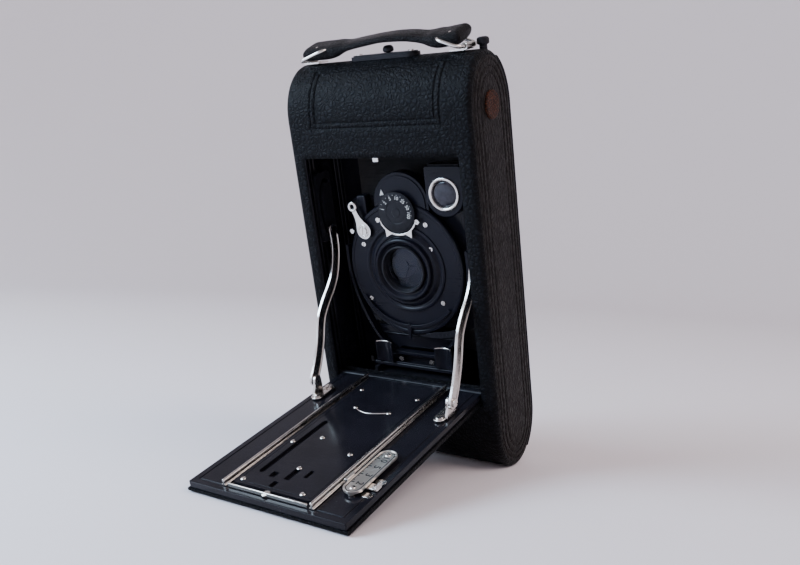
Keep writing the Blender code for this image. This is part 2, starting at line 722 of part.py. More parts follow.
def shutter_case(standard):
    """The round shutter housing, with the stepped well that the lens sits in."""
    outside = circle((0, SHUTTER_Z), SHUTTER_HALF, 48, SHUTTER_TALL / SHUTTER_HALF)
    back = circle((0, SHUTTER_Z), SHUTTER_HALF - 2.0, 48, (SHUTTER_TALL - 2.0) / (SHUTTER_HALF - 2.0))
    face = extrude(outside, "Y", SHUTTER_FACE_Y, SHUTTER_FACE_Y + 1.6)
    drum = extrude(back, "Y", SHUTTER_FACE_Y + 1.0, BOARD_Y - GAP)
    bore = disc("Y", (0, 0, LENS_Z), 12.4, SHUTTER_FACE_Y - 4, BOARD_Y + 2)
    steps = [(22.4, 12.0), (22.4, 12.9), (11.8, 12.9), (11.8, 10.6), (13.6, 9.6), (15.4, 9.6), (16.2, 10.4),
             (16.2, 11.4), (19.6, 11.4), (20.2, 12.0)]
    rings = turned(steps, "Y", (0, 0, LENS_Z), 40, True)
    socket = extrude(rectangle(-25.0, -20.0, 122.0, 138.4), "Y", 14.4, BOARD_Y - GAP)
    bearings = [disc("Y", (x, 0, z), 1.4, SHUTTER_FACE_Y - 1, SHUTTER_FACE_Y + 4, 12)
                for x, z in ((LEVER_X, LEVER_Z), (0, DIAL_Z))]
    solid("shutter_case", cut(joined(face, drum, socket, rings), bore, *bearings), enamel, standard)


def lens_cell(standard):
    """The barrel that screws into the shutter and holds both glasses."""
    wall = [(12.1, 9.8), (12.1, 24.5), (9.3, 24.5), (9.3, 12.4), (11.4, 9.8)]
    solid("lens_cell", turned(wall, "Y", (0, 0, LENS_Z), 32, True), black_metal, standard)


def lens_glass(standard):
    """The front glass, gently domed, and the flatter rear glass."""
    dome = [(0, 11.2), (3.2, 11.4), (6.0, 12.0), (9.0, 13.2), (9.0, 15.0), (0, 15.0)]
    solid("lens_front", turned(dome, "Y", (0, 0, LENS_Z), 32), glass, standard)
    rear = [(0, 20.5), (9.0, 20.5), (9.0, 22.2), (5.0, 23.0), (0, 23.4)]
    solid("lens_rear", turned(rear, "Y", (0, 0, LENS_Z), 32), glass, standard)


def glass(name):
    return material(name, (0.35, 0.38, 0.48), 0.05)


def speed_dial(standard):
    """The dial that sets the shutter's speed."""
    pivot = Pivot("speed_dial_axis", (0, SHUTTER_FACE_Y, DIAL_Z), standard)
    edge, front, back, end = DIAL_RADIUS, 10.0, 11.2, 14.5
    profile = [(0, front), (9.4, front), (edge, 10.6), (edge, back), (1.1, back), (1.1, end), (0, end)]
    solid("speed_dial", turned(profile, "Y", (0, 0, DIAL_Z), 32), black_metal, pivot)


def dial_housing(standard):
    """The half-round gear housing behind the dial, above the shutter."""
    outside = arc((1.2, 135.0), 15.4, 0, 180, 18)
    block = extrude([(16.6, 126.0), *outside, (-14.2, 126.0)], "Y", 13.6, BOARD_Y - GAP)
    oval = circle((0, SHUTTER_Z), SHUTTER_HALF + GAP, 48, (SHUTTER_TALL + GAP) / (SHUTTER_HALF + GAP))
    solid("dial_housing", cut(block, extrude(oval, "Y", 10.0, BOARD_Y + 1)), black_metal, standard)


def dial_yoke(standard):
    """The nickel crescent that cradles the dial from below."""
    outer = arc((0, DIAL_Z), 12.6, 200, 340, 14)
    inner = arc((0, DIAL_Z + 1.0), 11.4, 343, 197, 14)
    solid("dial_yoke", extrude(outer + inner, "Y", 10.5, 11.1), nickel, standard)


def release_lever(standard):
    """The teardrop lever that trips the shutter, on a slotted pivot screw."""
    pivot = Pivot("release_lever_axis", (LEVER_X, SHUTTER_FACE_Y, LEVER_Z), standard)
    tip = Vector((-26.0, 133.6))
    root = Vector((LEVER_X, LEVER_Z))
    along = (tip - root).normalized()
    across = Vector((-along.y, along.x))
    widths = ((-4.0, 0.1), (-3.4, 2.0), (-1.6, 3.5), (0.5, 3.9), (2.6, 3.3), (5.5, 1.9), (8.5, 1.3),
              (11.4, 1.3))
    left = [root + along * s + across * w for s, w in widths]
    right = [root + along * s - across * w for s, w in widths][::-1]
    arm = extrude([tuple(p) for p in left + right], "Y", 10.8, 12.0)
    ring = extrude(circle(tip, 2.5, SMALL_STEPS), "Y", 10.8, 12.0)
    eye = extrude(circle(tip, 1.1, 12), "Y", 9.0, 13.0)
    stem = disc("Y", (LEVER_X, 0, LEVER_Z), 1.1, 11.4, 14.5, SMALL_STEPS)
    head = disc("Y", (LEVER_X, 0, LEVER_Z), 2.2, 10.2, 11.0, SMALL_STEPS)
    solid("release_lever", joined(cut(joined(arm, ring), eye), stem, head), nickel, pivot)


def aperture_scale(standard):
    """The curved scale below the shutter's lower right edge."""
    centre = (11.0, LENS_Z + 6.0)
    outline = arc(centre, 41.5, -108, -70, 12) + arc(centre, 38.4, -70, -108, 12)
    plate = extrude(outline, "Y", 12.3, 13.0)
    leg = extrude(rectangle(8.0, 14.0, 67.2, 69.0), "Y", 12.6, 17.6 - GAP)
    oval = circle((0, SHUTTER_Z), SHUTTER_HALF + GAP, 48, (SHUTTER_TALL + GAP) / (SHUTTER_HALF + GAP))
    solid("aperture_scale", cut(joined(plate, leg), extrude(oval, "Y", 10.0, 21.0)), black_metal, standard)


def aperture_pointer(standard):
    """The pointer that sets the lens opening. It turns round the lens on a thin curved band."""
    pivot = Pivot("aperture_axis", (0, SHUTTER_FACE_Y, LENS_Z), standard)
    centre = Vector((0, LENS_Z))
    reach = [centre + Matrix.Rotation(math.radians(-92), 2) @ Vector((r, 0)) for r in (30.0, 36.6)]
    arm = extrude(stroke(reach, 0.9), "Y", 11.4, 12.1)
    band = arc((0, LENS_Z), 31.0, -150, -40, 16) + arc((0, LENS_Z), 29.4, -40, -150, 16)
    solid("aperture_pointer", joined(extrude(band, "Y", 11.4, 12.1), arm), nickel, pivot)


def finder(standard):
    """The reflecting finder: a box with a round front lens, which tips sideways for upright pictures."""
    pivot = Pivot("finder_axis", (FINDER_X, 19.6, FINDER_Z - 1.0), standard)
    low, high = FINDER_X - FINDER_HALF, FINDER_X + FINDER_HALF
    outside = [(low, 153.8), *arc((FINDER_X, 139.5), FINDER_HALF, 180, 360, 16), (high, 153.8)]
    box = extrude(outside, "Y", 11.2, 19.6)
    bore = disc("Y", (FINDER_X, 0, FINDER_Z), 6.6, 10.0, 13.2)
    top = extrude(rectangle(FINDER_X - 6.6, FINDER_X + 6.6, 13.2, 18.2), "Z", 152.4, 155.0)
    solid("finder_body", cut(box, bore, top), black_metal, pivot)
    lens = [(0, 10.6), (3.5, 10.9), (6.2, 11.8), (6.2, 12.8), (0, 12.8)]
    solid("finder_lens", turned(lens, "Y", (FINDER_X, 0, FINDER_Z)), glass, pivot)
    screen = extrude(rectangle(FINDER_X - 6.3, FINDER_X + 6.3, 13.5, 17.9), "Z", 152.7, 153.4)
    solid("finder_screen", screen, glass, pivot)


def grip(standard, name, side):
    """A finger grip on the carriage: a curved plate, squeezed inwards to free the carriage on the rails."""
    x = side * 17.5
    pivot = Pivot(name + "_slide", (x, 13.0, 58.0), standard)
    low = RAIL_TOP + GAP + 1.8 + GAP
    bend = [(side * 22.0, 10.6), (side * 20.0, 11.7), (x, 12.2), (side * 15.0, 11.7), (side * 13.0, 10.6)]
    plate = extrude(stroke(bend, 0.6), "Z", low + 0.4, 62.6)
    foot = extrude(rectangle(x - 2.5, x + 2.5, 11.8, 16.4), "Z", low, low + 1.2)
    solid(name, joined(plate, foot), nickel, pivot)


def bellows(standard):
    """The folded bellows: a tapering square tube from the lens board to the film gate."""
    front, back = BOARD_Y + BOARD_THICK + GAP, FILM_GATE_Y - GAP
    rings = (
        [(front, 27.0, 74.0, 131.0), (back, 35.5, 52.5, 157.5)],
        [(front, 22.0, 79.0, 126.0), (back, 33.0, 55.0, 155.0)],
    )
    shape = bmesh.new()
    loops = []
    for ring in rings:
        for y, half, low, high in ring:
            corners = ((-half, y, low), (half, y, low), (half, y, high), (-half, y, high))
            loops.append([shape.verts.new(p) for p in corners])
    outer_front, outer_back, inner_front, inner_back = loops
    around = (outer_front, outer_back, inner_back, inner_front, outer_front)
    for a, b in zip(around, around[1:]):
        for i in range(4):
            j = (i + 1) % 4
            shape.faces.new((a[i], a[j], b[j], b[i]))
    mesh = bpy.data.meshes.new("bellows")
    shape.to_mesh(mesh)
    shape.free()
    solid("bellows", tidy(mesh), leather, standard)


# ---------------------------------------------------------------- the whole camera

def lean_angle():
    """The lean at which the bed's tip and the lower rounded end touch the floor together."""
    run = END_CENTRE[0] - BED_TIP[0]
    rise = BED_TIP[1] - END_CENTRE[1]
    a = run * run - MID_DEPTH ** 2
    b = 2 * run * rise
    c = rise * rise - END_HEIGHT ** 2
    slope = (-b - math.sqrt(b * b - 4 * a * c)) / (2 * a)
    return -math.atan(slope)


def settle(frame):
    """Leans the camera and moves it so that its box is centred on the origin and stands on the floor."""
    frame.rotation_euler = (lean_angle(), 0, 0)
    bpy.context.view_layer.update()
    graph = bpy.context.evaluated_depsgraph_get()
    points = []
    for obj in bpy.data.objects:
        if obj.type == "MESH" and not obj.hide_render:
            place = obj.matrix_world
            points += [place @ v.co for v in obj.evaluated_get(graph).data.vertices]
    low = [min(p[i] for p in points) for i in range(3)]
    high = [max(p[i] for p in points) for i in range(3)]
    frame.location = (-(low[0] + high[0]) / 2, -(low[1] + high[1]) / 2, -low[2])


def build():
    for obj in list(bpy.data.objects):
        bpy.data.objects.remove(obj)

    camera = Pivot("camera_frame")
    case_front(camera)
    case_side(camera, "case_side_left", -1)
    case_side(camera, "case_side_right", 1)
    case_end(camera, "case_end_upper", upper_end)
    case_end(camera, "case_end_lower", lower_end)
    chamber_walls(camera)
    film_gate(camera)
    guide_roller(camera, "film_roller_upper", 170.0)
    guide_roller(camera, "film_roller_lower", 33.0)
    brace_guide(camera, "brace_guide_left", -1)
    brace_guide(camera, "brace_guide_right", 1)
    inner_track(camera)
    bed_catch(camera)
    hinge_rod(camera)
    spindle_cap(camera)
    handle(camera)
    top_plate(camera)
    latch_knob(camera)
    back_button(camera)

    take_up = Pivot("winder_axis", (0, SPOOL_Y, SPOOL_AXIS_HIGH), camera)
    spool("take_up_spool", take_up, SPOOL_AXIS_HIGH)
    winding_key(take_up, SPOOL_AXIS_HIGH)
    supply = Pivot("supply_axis", (0, SPOOL_Y, SPOOL_AXIS_LOW), camera)
    spool("supply_spool", supply, SPOOL_AXIS_LOW)

    back = Pivot("back_slide", (0, BODY_DEPTH, BODY_HEIGHT / 2), camera)
    back_cover(back)
    frame_window(back)
    pressure_plate(back)

    bed = Pivot("bed_hinge", (0, HINGE_Y, HINGE_Z), camera)
    bed_panel(bed)
    bed_track(bed)
    bed_rail(bed, "bed_rail_left", -RAIL_X)
    bed_rail(bed, "bed_rail_right", RAIL_X)
    cross_strip(bed)
    focus_scale(bed)
    focus_stop(bed)
    brace_bracket(bed, "brace_bracket_left", -1)
    brace_bracket(bed, "brace_bracket_right", 1)
    brace(bed, "brace_left", -1)
    brace(bed, "brace_right", 1)

    standard = Pivot("standard_slide", (0, BOARD_Y, RAIL_TOP), camera)
    standard_base(standard)
    standard_frame(standard)
    lens_board(standard)
    shutter_case(standard)
    lens_cell(standard)
    lens_glass(standard)
    speed_dial(standard)
    dial_housing(standard)
    dial_yoke(standard)
    release_lever(standard)
    aperture_scale(standard)
    aperture_pointer(standard)
    finder(standard)
    grip(standard, "grip_left", -1)
    grip(standard, "grip_right", 1)
    bellows(standard)
    settle(camera.empty)


build()
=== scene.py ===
"""Looks of the folding roll-film hand camera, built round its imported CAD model.

Shapes are drawn upright, in millimetres: X across, Y from the front face to the back, Z up along the body
from its lower end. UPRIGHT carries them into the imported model's own frame.
"""

import json
import math

import bmesh
import bpy
from mathutils import Matrix, Vector

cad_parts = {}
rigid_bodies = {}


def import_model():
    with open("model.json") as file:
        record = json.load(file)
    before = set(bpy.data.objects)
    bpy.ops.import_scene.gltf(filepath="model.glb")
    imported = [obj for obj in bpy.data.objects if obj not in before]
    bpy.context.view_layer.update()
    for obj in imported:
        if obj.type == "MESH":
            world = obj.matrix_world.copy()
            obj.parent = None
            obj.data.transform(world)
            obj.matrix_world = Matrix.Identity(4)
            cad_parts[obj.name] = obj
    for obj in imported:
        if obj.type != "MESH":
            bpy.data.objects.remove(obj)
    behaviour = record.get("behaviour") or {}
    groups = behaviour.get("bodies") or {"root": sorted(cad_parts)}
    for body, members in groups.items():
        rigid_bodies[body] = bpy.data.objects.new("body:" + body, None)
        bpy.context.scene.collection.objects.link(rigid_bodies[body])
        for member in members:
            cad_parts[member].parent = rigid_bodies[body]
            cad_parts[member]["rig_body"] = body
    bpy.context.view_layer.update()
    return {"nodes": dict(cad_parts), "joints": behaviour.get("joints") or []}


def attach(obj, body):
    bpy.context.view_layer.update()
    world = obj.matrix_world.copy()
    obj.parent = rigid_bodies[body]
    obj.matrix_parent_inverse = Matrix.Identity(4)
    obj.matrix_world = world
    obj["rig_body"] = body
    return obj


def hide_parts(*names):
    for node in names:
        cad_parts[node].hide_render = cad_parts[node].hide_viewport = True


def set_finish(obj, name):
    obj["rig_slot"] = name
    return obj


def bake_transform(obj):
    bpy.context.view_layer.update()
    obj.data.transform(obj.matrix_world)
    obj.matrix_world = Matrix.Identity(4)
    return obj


for startup_object in list(bpy.data.objects):
    bpy.data.objects.remove(startup_object)

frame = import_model()
MM = 0.001


# ---------------------------------------------------------------- the upright frame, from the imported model

def joint(name):
    return next(j for j in frame["joints"] if j["name"] == name)


def upright_frame():
    """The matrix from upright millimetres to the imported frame's metres."""
    back = -Vector(joint("standard_slide")["axis"]).normalized()
    across = Vector((1, 0, 0))
    turn = Matrix((across, back, across.cross(back))).transposed().to_4x4()
    sides = [v.co for n in ("case_side_left", "case_side_right") for v in frame["nodes"][n].data.vertices]
    places = [turn.inverted() @ p for p in sides]
    low, high = (Vector(f(p[i] for p in places) for i in range(3)) for f in (min, max))
    origin = Vector(((low.x + high.x) / 2, low.y, low.z))
    return turn @ Matrix.Translation(origin) @ Matrix.Scale(MM, 4)


UPRIGHT = upright_frame()
TO_UPRIGHT = UPRIGHT.inverted()


def span(node):
    """Lowest and highest corner of a CAD node, in upright millimetres."""
    places = [TO_UPRIGHT @ v.co for v in frame["nodes"][node].data.vertices]
    return tuple(Vector(f(p[i] for p in places) for i in range(3)) for f in (min, max))


def centre(node):
    low, high = span(node)
    return (low + high) / 2


# ---------------------------------------------------------------- outlines

def circle(middle, radius, steps=64, squash=1.0):
    turns = [2 * math.pi * i / steps for i in range(steps)]
    return [(middle[0] + radius * math.cos(t), middle[1] + squash * radius * math.sin(t)) for t in turns]


def arc(middle, radius, start, end, steps=16):
    angles = [math.radians(start + (end - start) * i / steps) for i in range(steps + 1)]
    return [(middle[0] + radius * math.cos(t), middle[1] + radius * math.sin(t)) for t in angles]


def rectangle(low_u, high_u, low_v, high_v, radius=0.0, steps=6):
    if not radius:
        return [(low_u, low_v), (high_u, low_v), (high_u, high_v), (low_u, high_v)]
    corners = [(high_u - radius, high_v - radius, 0), (low_u + radius, high_v - radius, 90),
               (low_u + radius, low_v + radius, 180), (high_u - radius, low_v + radius, 270)]
    return [p for u, v, turn in corners for p in arc((u, v), radius, turn, turn + 90, steps)]


def ribbon(path, halves, steps=8):
    """The outline of a line with round ends, whose half width may change along it."""
    path = [Vector(p) for p in path]
    if not isinstance(halves, (list, tuple)):
        halves = [halves] * len(path)
    left, right = [], []
    for i, (point, half) in enumerate(zip(path, halves)):
        ahead = path[min(i + 1, len(path) - 1)] - path[max(i - 1, 0)]
        side = Vector((-ahead.y, ahead.x)).normalized() * half
        left.append(point + side)
        right.append(point - side)

    def cap(middle, edge):
        return [middle + Matrix.Rotation(-math.pi * i / steps, 2) @ edge for i in range(1, steps)]

    outline = left + cap(path[-1], left[-1] - path[-1]) + right[::-1] + cap(path[0], right[0] - path[0])
    return [(p.x, p.y) for p in outline]


def smooth_line(points, steps):
    """A Catmull-Rom curve through a list of points."""
    points = [Vector(p) for p in points]
    points = [points[0], *points, points[-1]]
    line = []
    for a, b, c, d in zip(points, points[1:], points[2:], points[3:]):
        for i in range(steps):
            t = i / steps
            line.append(0.5 * (2 * b + (c - a) * t + (2 * a - 5 * b + 4 * c - d) * t * t
                               + (3 * b - a - 3 * c + d) * t * t * t))
    return line + [points[-1]]


def between(a, b, share):
    return a + (b - a) * share


# ---------------------------------------------------------------- meshes

TURNS = {
    "X": Matrix(((0, 0, 1, 0), (1, 0, 0, 0), (0, 1, 0, 0), (0, 0, 0, 1))),
    "Y": Matrix(((1, 0, 0, 0), (0, 0, -1, 0), (0, 1, 0, 0), (0, 0, 0, 1))),
    "Z": Matrix.Identity(4),
}


def evaluated_copy(obj):
    """The object's mesh with its modifiers applied. The object itself is removed."""
    bpy.context.view_layer.update()
    mesh = bpy.data.meshes.new_from_object(obj.evaluated_get(bpy.context.evaluated_depsgraph_get()))
    bpy.data.objects.remove(obj)
    return mesh


def linked(name, data):
    """A new object in the scene."""
    obj = bpy.data.objects.new(name, data)
    bpy.context.scene.collection.objects.link(obj)
    return obj


def drawn(curve):
    """The mesh of a curve or a text."""
    return evaluated_copy(linked(curve.name, curve))


def spline_through(curve, points, closed):
    """Adds straight pieces through (x, y, z) points to a curve."""
    spline = curve.splines.new("POLY")
    spline.points.add(len(points) - 1)
    for place, point in zip(spline.points, points):
        place.co = (*point, 1)
    spline.use_cyclic_u = closed


def tidied(mesh, flatten=True):
    """Joins points that coincide, clears needless edges on flat faces and turns every face outwards."""
    shape = bmesh.new()
    shape.from_mesh(mesh)
    bmesh.ops.remove_doubles(shape, verts=shape.verts, dist=0.0005)
    if flatten:
        bmesh.ops.dissolve_limit(shape, angle_limit=math.radians(0.5), verts=shape.verts, edges=shape.edges)
    bmesh.ops.recalc_face_normals(shape, faces=shape.faces)
    shape.to_mesh(mesh)
    shape.free()
    return mesh


def extrude(outline, axis, low, high, holes=()):
    """A flat plate drawn out along an axis. Outlines are (y, z) for X, (x, z) for Y and (x, y) for Z."""
    curve = bpy.data.curves.new("outline", "CURVE")
    curve.dimensions = "2D"
    curve.fill_mode = "BOTH"
    curve.extrude = (high - low) / 2
    for points in (outline, *holes):
        spline_through(curve, [(u, v, 0) for u, v in points], True)
    mesh = drawn(curve)
    middle = (high + low) / 2
    mesh.transform(Matrix.Translation((0, 0, -middle if axis == "Y" else middle)))
    mesh.transform(TURNS[axis])
    return tidied(mesh)


def turned(profile, axis, middle, steps=64, ring=False):
    """A solid of revolution. A ring's profile closes on itself; any other starts and ends on the axis."""
    shape = bmesh.new()
    points = [shape.verts.new((radius, 0, along)) for radius, along in profile]
    pairs = list(zip(points, points[1:]))
    if ring:
        pairs.append((points[-1], points[0]))
    edges = [shape.edges.new(pair) for pair in pairs]
    bmesh.ops.spin(shape, geom=points + edges, cent=(0, 0, 0), axis=(0, 0, 1), angle=2 * math.pi,
                   steps=steps, use_merge=True, use_duplicate=False)
    mesh = bpy.data.meshes.new("turned")
    shape.to_mesh(mesh)
    shape.free()
    turns = {
        "X": Matrix.Rotation(math.radians(90), 4, "Y"),
        "Y": Matrix.Rotation(math.radians(-90), 4, "X"),
        "Z": Matrix.Identity(4),
    }
    mesh.transform(Matrix.Translation(middle) @ turns[axis])
    return tidied(mesh, False)


def tube(path, radius, closed=False, sides=5):
    """A round wire along a path."""
    curve = bpy.data.curves.new("wire", "CURVE")
    curve.dimensions = "3D"
    curve.bevel_depth = radius
    curve.bevel_resolution = sides
    curve.use_fill_caps = True
    spline_through(curve, path, closed)
    return tidied(drawn(curve), False)


def lettering(text, height):
    """Flat raised characters lying in XY, centred on the origin."""
    curve = bpy.data.curves.new("characters", "FONT")
    curve.body = text
    curve.size = height * 1.4
    curve.extrude = 0.05
    curve.align_x = "CENTER"
    curve.align_y = "CENTER"
    curve.resolution_u = 3
    return drawn(curve)


def gathered(*meshes):
    """One mesh that holds several separate ones."""
    shape = bmesh.new()
    for mesh in meshes:
        shape.from_mesh(mesh)
    made = bpy.data.meshes.new("gathered")
    shape.to_mesh(made)
    shape.free()
    return made


def moved(mesh, *steps):
    """A copy of a mesh, carried through one matrix after another."""
    copy = mesh.copy()
    for step in steps:
        copy.transform(step)
    return copy


def shift(x=0.0, y=0.0, z=0.0):
    return Matrix.Translation((x, y, z))


def turn_about(axis, degrees):
    return Matrix.Rotation(math.radians(degrees), 4, axis)


def cut(base, *tools):
    """A mesh with the others taken away from it."""
    for tool_mesh in tools:
        body = linked("body", base)
        tool = linked("tool", tool_mesh)
        step = body.modifiers.new("cut", "BOOLEAN")
        step.operation = "DIFFERENCE"
        step.object = tool
        base = evaluated_copy(body)
        bpy.data.objects.remove(tool)
    return tidied(base)


def screw_head(radius, height, slot=0.28):
    """A slotted head: a disc with two half discs on it, lying on Z = 0."""
    base = extrude(circle((0, 0), radius, 24), "Z", 0, height * 0.45)
    lean = math.degrees(math.asin(slot / radius))
    halves = []
    for start in (0, 180):
        outline = arc((0, 0), radius, start + lean, start + 180 - lean, 14)
        halves.append(extrude(outline, "Z", height * 0.4, height))
    return gathered(base, *halves)


def rivet_head(radius, height):
    profile = [(0, 0), (radius, 0), (radius, height * 0.25), (radius * 0.86, height * 0.62),
               (radius * 0.5, height * 0.92), (0, height)]
    return turned(profile, "Z", (0, 0, 0), 20)


def surface(rows, closed=False, keep=None):
    """A sheet of four-sided faces through rows of points. keep(i, j) says which faces are made."""
    shape = bmesh.new()
    grid = [[shape.verts.new(p) for p in row] for row in rows]
    for i in range(len(grid) - 1):
        count = len(grid[i])
        for j in range(count if closed else count - 1):
            if keep is None or keep(i, j):
                k = (j + 1) % count
                shape.faces.new((grid[i][j], grid[i][k], grid[i + 1][k], grid[i + 1][j]))
    loose = [v for v in shape.verts if not v.link_faces]
    bmesh.ops.delete(shape, geom=loose, context="VERTS")
    mesh = bpy.data.meshes.new("surface")
    shape.to_mesh(mesh)
    shape.free()
    return mesh


def closed_up(mesh, chosen=lambda edge: True, bridge=False, outwards=True):
    """Fills the chosen open rims of a sheet, or joins two of them, and turns its faces outwards."""
    shape = bmesh.new()
    shape.from_mesh(mesh)
    rims = [e for e in shape.edges if e.is_boundary and chosen(e)]
    if bridge:
        bmesh.ops.bridge_loops(shape, edges=rims)
    else:
        bmesh.ops.holes_fill(shape, edges=rims, sides=0)
    if outwards:
        bmesh.ops.recalc_face_normals(shape, faces=shape.faces)
    shape.to_mesh(mesh)
    shape.free()
    return mesh


# ---------------------------------------------------------------- materials

class Finish:
    """A procedural material for one of the record's material slots."""

    def __init__(self, slot, colour, roughness, metallic=0.0):
        self.slot = slot
        self.material = bpy.data.materials.new(slot)
        self.material.use_nodes = True
        self.tree = self.material.node_tree
        self.shader = self.tree.nodes["Principled BSDF"]
        self.shader.inputs["Base Color"].default_value = (*colour, 1)
        self.shader.inputs["Roughness"].default_value = roughness
        self.shader.inputs["Metallic"].default_value = metallic
        self.normal = None
        self.object_place = self.node("ShaderNodeTexCoord").outputs["Object"]

    def node(self, kind, **settings):
        made = self.tree.nodes.new(kind)
        for name, value in settings.items():
            setattr(made, name, value)
        return made

    def wire(self, source, target):
        self.tree.links.new(source, target)

    def place(self, size, stretch=(1, 1, 1), bend=0.0):
        """Object coordinates scaled so that one unit is a size in millimetres, with an optional wobble."""
        mapping = self.node("ShaderNodeMapping")
        mapping.inputs["Scale"].default_value = [1 / (size * MM * s) for s in stretch]
        self.wire(self.object_place, mapping.inputs["Vector"])
        if not bend:
            return mapping.outputs[0]
        wobble = self.node("ShaderNodeTexNoise")
        wobble.inputs["Scale"].default_value = 0.7
        self.wire(mapping.outputs[0], wobble.inputs["Vector"])
        add = self.node("ShaderNodeVectorMath", operation="MULTIPLY_ADD")
        add.inputs[1].default_value = (bend, bend, bend)
        self.wire(wobble.outputs["Color"], add.inputs[0])
        self.wire(mapping.outputs[0], add.inputs[2])
        return add.outputs[0]

    def noise(self, size, detail=4.0, stretch=(1, 1, 1), rough=0.55):
        texture = self.node("ShaderNodeTexNoise")
        texture.inputs["Scale"].default_value = 1.0
        texture.inputs["Detail"].default_value = detail
        texture.inputs["Roughness"].default_value = rough
        self.wire(self.place(size, stretch), texture.inputs["Vector"])
        return texture.outputs[0]

    def cells(self, size, stretch=(1, 1, 1), bend=0.5):
        texture = self.node("ShaderNodeTexVoronoi", feature="DISTANCE_TO_EDGE")
        texture.inputs["Scale"].default_value = 1.0
        self.wire(self.place(size, stretch, bend), texture.inputs["Vector"])
        return texture.outputs["Distance"]

    def pointed(self):
        return self.node("ShaderNodeNewGeometry").outputs["Pointiness"]

    def fit(self, source, low, high, to_low=0.0, to_high=1.0, smooth=False):
        step = self.node("ShaderNodeMapRange", interpolation_type="SMOOTHSTEP" if smooth else "LINEAR")
        for name, value in (("From Min", low), ("From Max", high), ("To Min", to_low), ("To Max", to_high)):
            step.inputs[name].default_value = value
        self.wire(source, step.inputs["Value"])
        return step.outputs["Result"]

    def maths(self, operation, a, b):
        step = self.node("ShaderNodeMath", operation=operation)
        for socket, value in zip(step.inputs, (a, b)):
            if isinstance(value, (int, float)):
                socket.default_value = value
            else:
                self.wire(value, socket)
        return step.outputs[0]

    def mix(self, share, a, b):
        step = self.node("ShaderNodeMix", data_type="RGBA")
        self.wire(share, step.inputs[0])
        for socket, value in ((step.inputs[6], a), (step.inputs[7], b)):
            if isinstance(value, tuple):
                socket.default_value = (*value, 1)
            else:
                self.wire(value, socket)
        return step.outputs[2]

    def bump(self, height, depth, strength=1.0):
        step = self.node("ShaderNodeBump")
        step.inputs["Distance"].default_value = depth * MM
        step.inputs["Strength"].default_value = strength
        self.wire(height, step.inputs["Height"])
        if self.normal:
            self.wire(self.normal, step.inputs["Normal"])
        self.normal = step.outputs["Normal"]
        self.wire(self.normal, self.shader.inputs["Normal"])

    def colour(self, source):
        self.wire(source, self.shader.inputs["Base Color"])

    def roughness(self, source):
        self.wire(source, self.shader.inputs["Roughness"])

    def set(self, **values):
        for name, value in values.items():
            self.shader.inputs[name.replace("_", " ")].default_value = value


def leather(slot, crease_shade, top, wear_and_sheen, grain, stretch=(1, 1, 1), wear_and_sheen_amount=0.5, rough=(0.42, 0.6)):
    """Pebbled leather: raised cells between fine creases, with painted shade in the creases, and the cell
    tops lighter here and there from wear and a painted sheen.
    """
    made = Finish(slot, top, rough[1])
    made.set(Specular_IOR_Level=0.07)
    cell = made.fit(made.cells(grain, stretch, 0.9), 0.0, 0.34, smooth=True)
    small = made.fit(made.cells(grain * 0.42, stretch, 0.5), 0.0, 0.35, smooth=True)
    patches = made.noise(24, 3)
    made.bump(made.noise(grain * 1.7, 2, stretch), 0.35, 0.5)
    made.bump(cell, 0.26, 0.9)
    made.bump(small, 0.10, 0.7)
    made.bump(made.noise(0.4, 3), 0.02, 0.5)
    # Painted shade: the creases between the cells take a darker colour than the cell tops.
    base = made.mix(cell, crease_shade, top)
    # Real wear together with a painted sheen: the cell tops turn towards a lighter colour in patches.
    wear_and_sheen_patches = made.maths("MULTIPLY", made.fit(patches, 0.5, 0.74), made.fit(made.noise(1.3, 4), 0.45, 0.72))
    wear_and_sheen_on_tops = made.maths("MULTIPLY", made.maths("MULTIPLY", wear_and_sheen_patches, cell), wear_and_sheen_amount)
    made.colour(made.mix(wear_and_sheen_on_tops, base, wear_and_sheen))
    made.roughness(made.fit(made.noise(5, 4), 0.3, 0.7, *rough))
    return made


def enamel(slot, colour, gloss, dust=0.5):
    """Baked enamel: dark and glossy, with a slight haze, fine scratches and specks of dust."""
    made = Finish(slot, colour, gloss)
    made.set(Specular_IOR_Level=0.12, Coat_Weight=0.03, Coat_Roughness=0.12)
    haze = made.noise(16, 4)
    streaks = made.noise(0.7, 3, (14, 1, 1))
    made.roughness(made.fit(made.maths("MULTIPLY", haze, streaks), 0.15, 0.4, gloss * 0.8, gloss * 1.4))
    tint = made.mix(made.fit(haze, 0.35, 0.7), colour, tuple(c * 1.45 for c in colour))
    specks = made.maths("MULTIPLY", made.fit(made.noise(0.5, 2), 0.70, 0.78), dust)
    made.colour(made.mix(specks, tint, (0.10, 0.10, 0.10)))
    made.bump(made.noise(11, 2), 0.04, 0.4)
    made.bump(made.noise(0.35, 3), 0.004, 0.4)
    return made


def nickel(slot, colour=(0.66, 0.63, 0.59), rough=(0.16, 0.28), tarnish=0.22):
    """Old nickel plate: bright, with soft brownish tarnish and fine brushing."""
    made = Finish(slot, colour, rough[1], 1.0)
    patches = made.fit(made.noise(6, 4), 0.5, 0.72)
    spots = made.fit(made.noise(0.9, 3), 0.66, 0.76)
    dull = made.maths("MULTIPLY", made.maths("MAXIMUM", patches, spots), tarnish)
    made.colour(made.mix(dull, colour, (0.36, 0.31, 0.26)))
    made.roughness(made.fit(made.noise(4, 4), 0.3, 0.7, *rough))
    made.bump(made.noise(0.25, 3, (1, 6, 1)), 0.004, 0.4)
    return made


def black_metal(slot, colour=(0.0062, 0.0062, 0.008), rough=(0.3, 0.46)):
    """Black-painted metal with a slight mottle."""
    made = Finish(slot, colour, rough[1])
    made.set(Specular_IOR_Level=0.13)
    made.colour(made.mix(made.fit(made.noise(2.2, 4), 0.35, 0.7), colour, tuple(c * 1.9 for c in colour)))
    made.roughness(made.fit(made.noise(4, 5), 0.3, 0.7, *rough))
    made.bump(made.noise(0.4, 3), 0.008, 0.5)
    return made


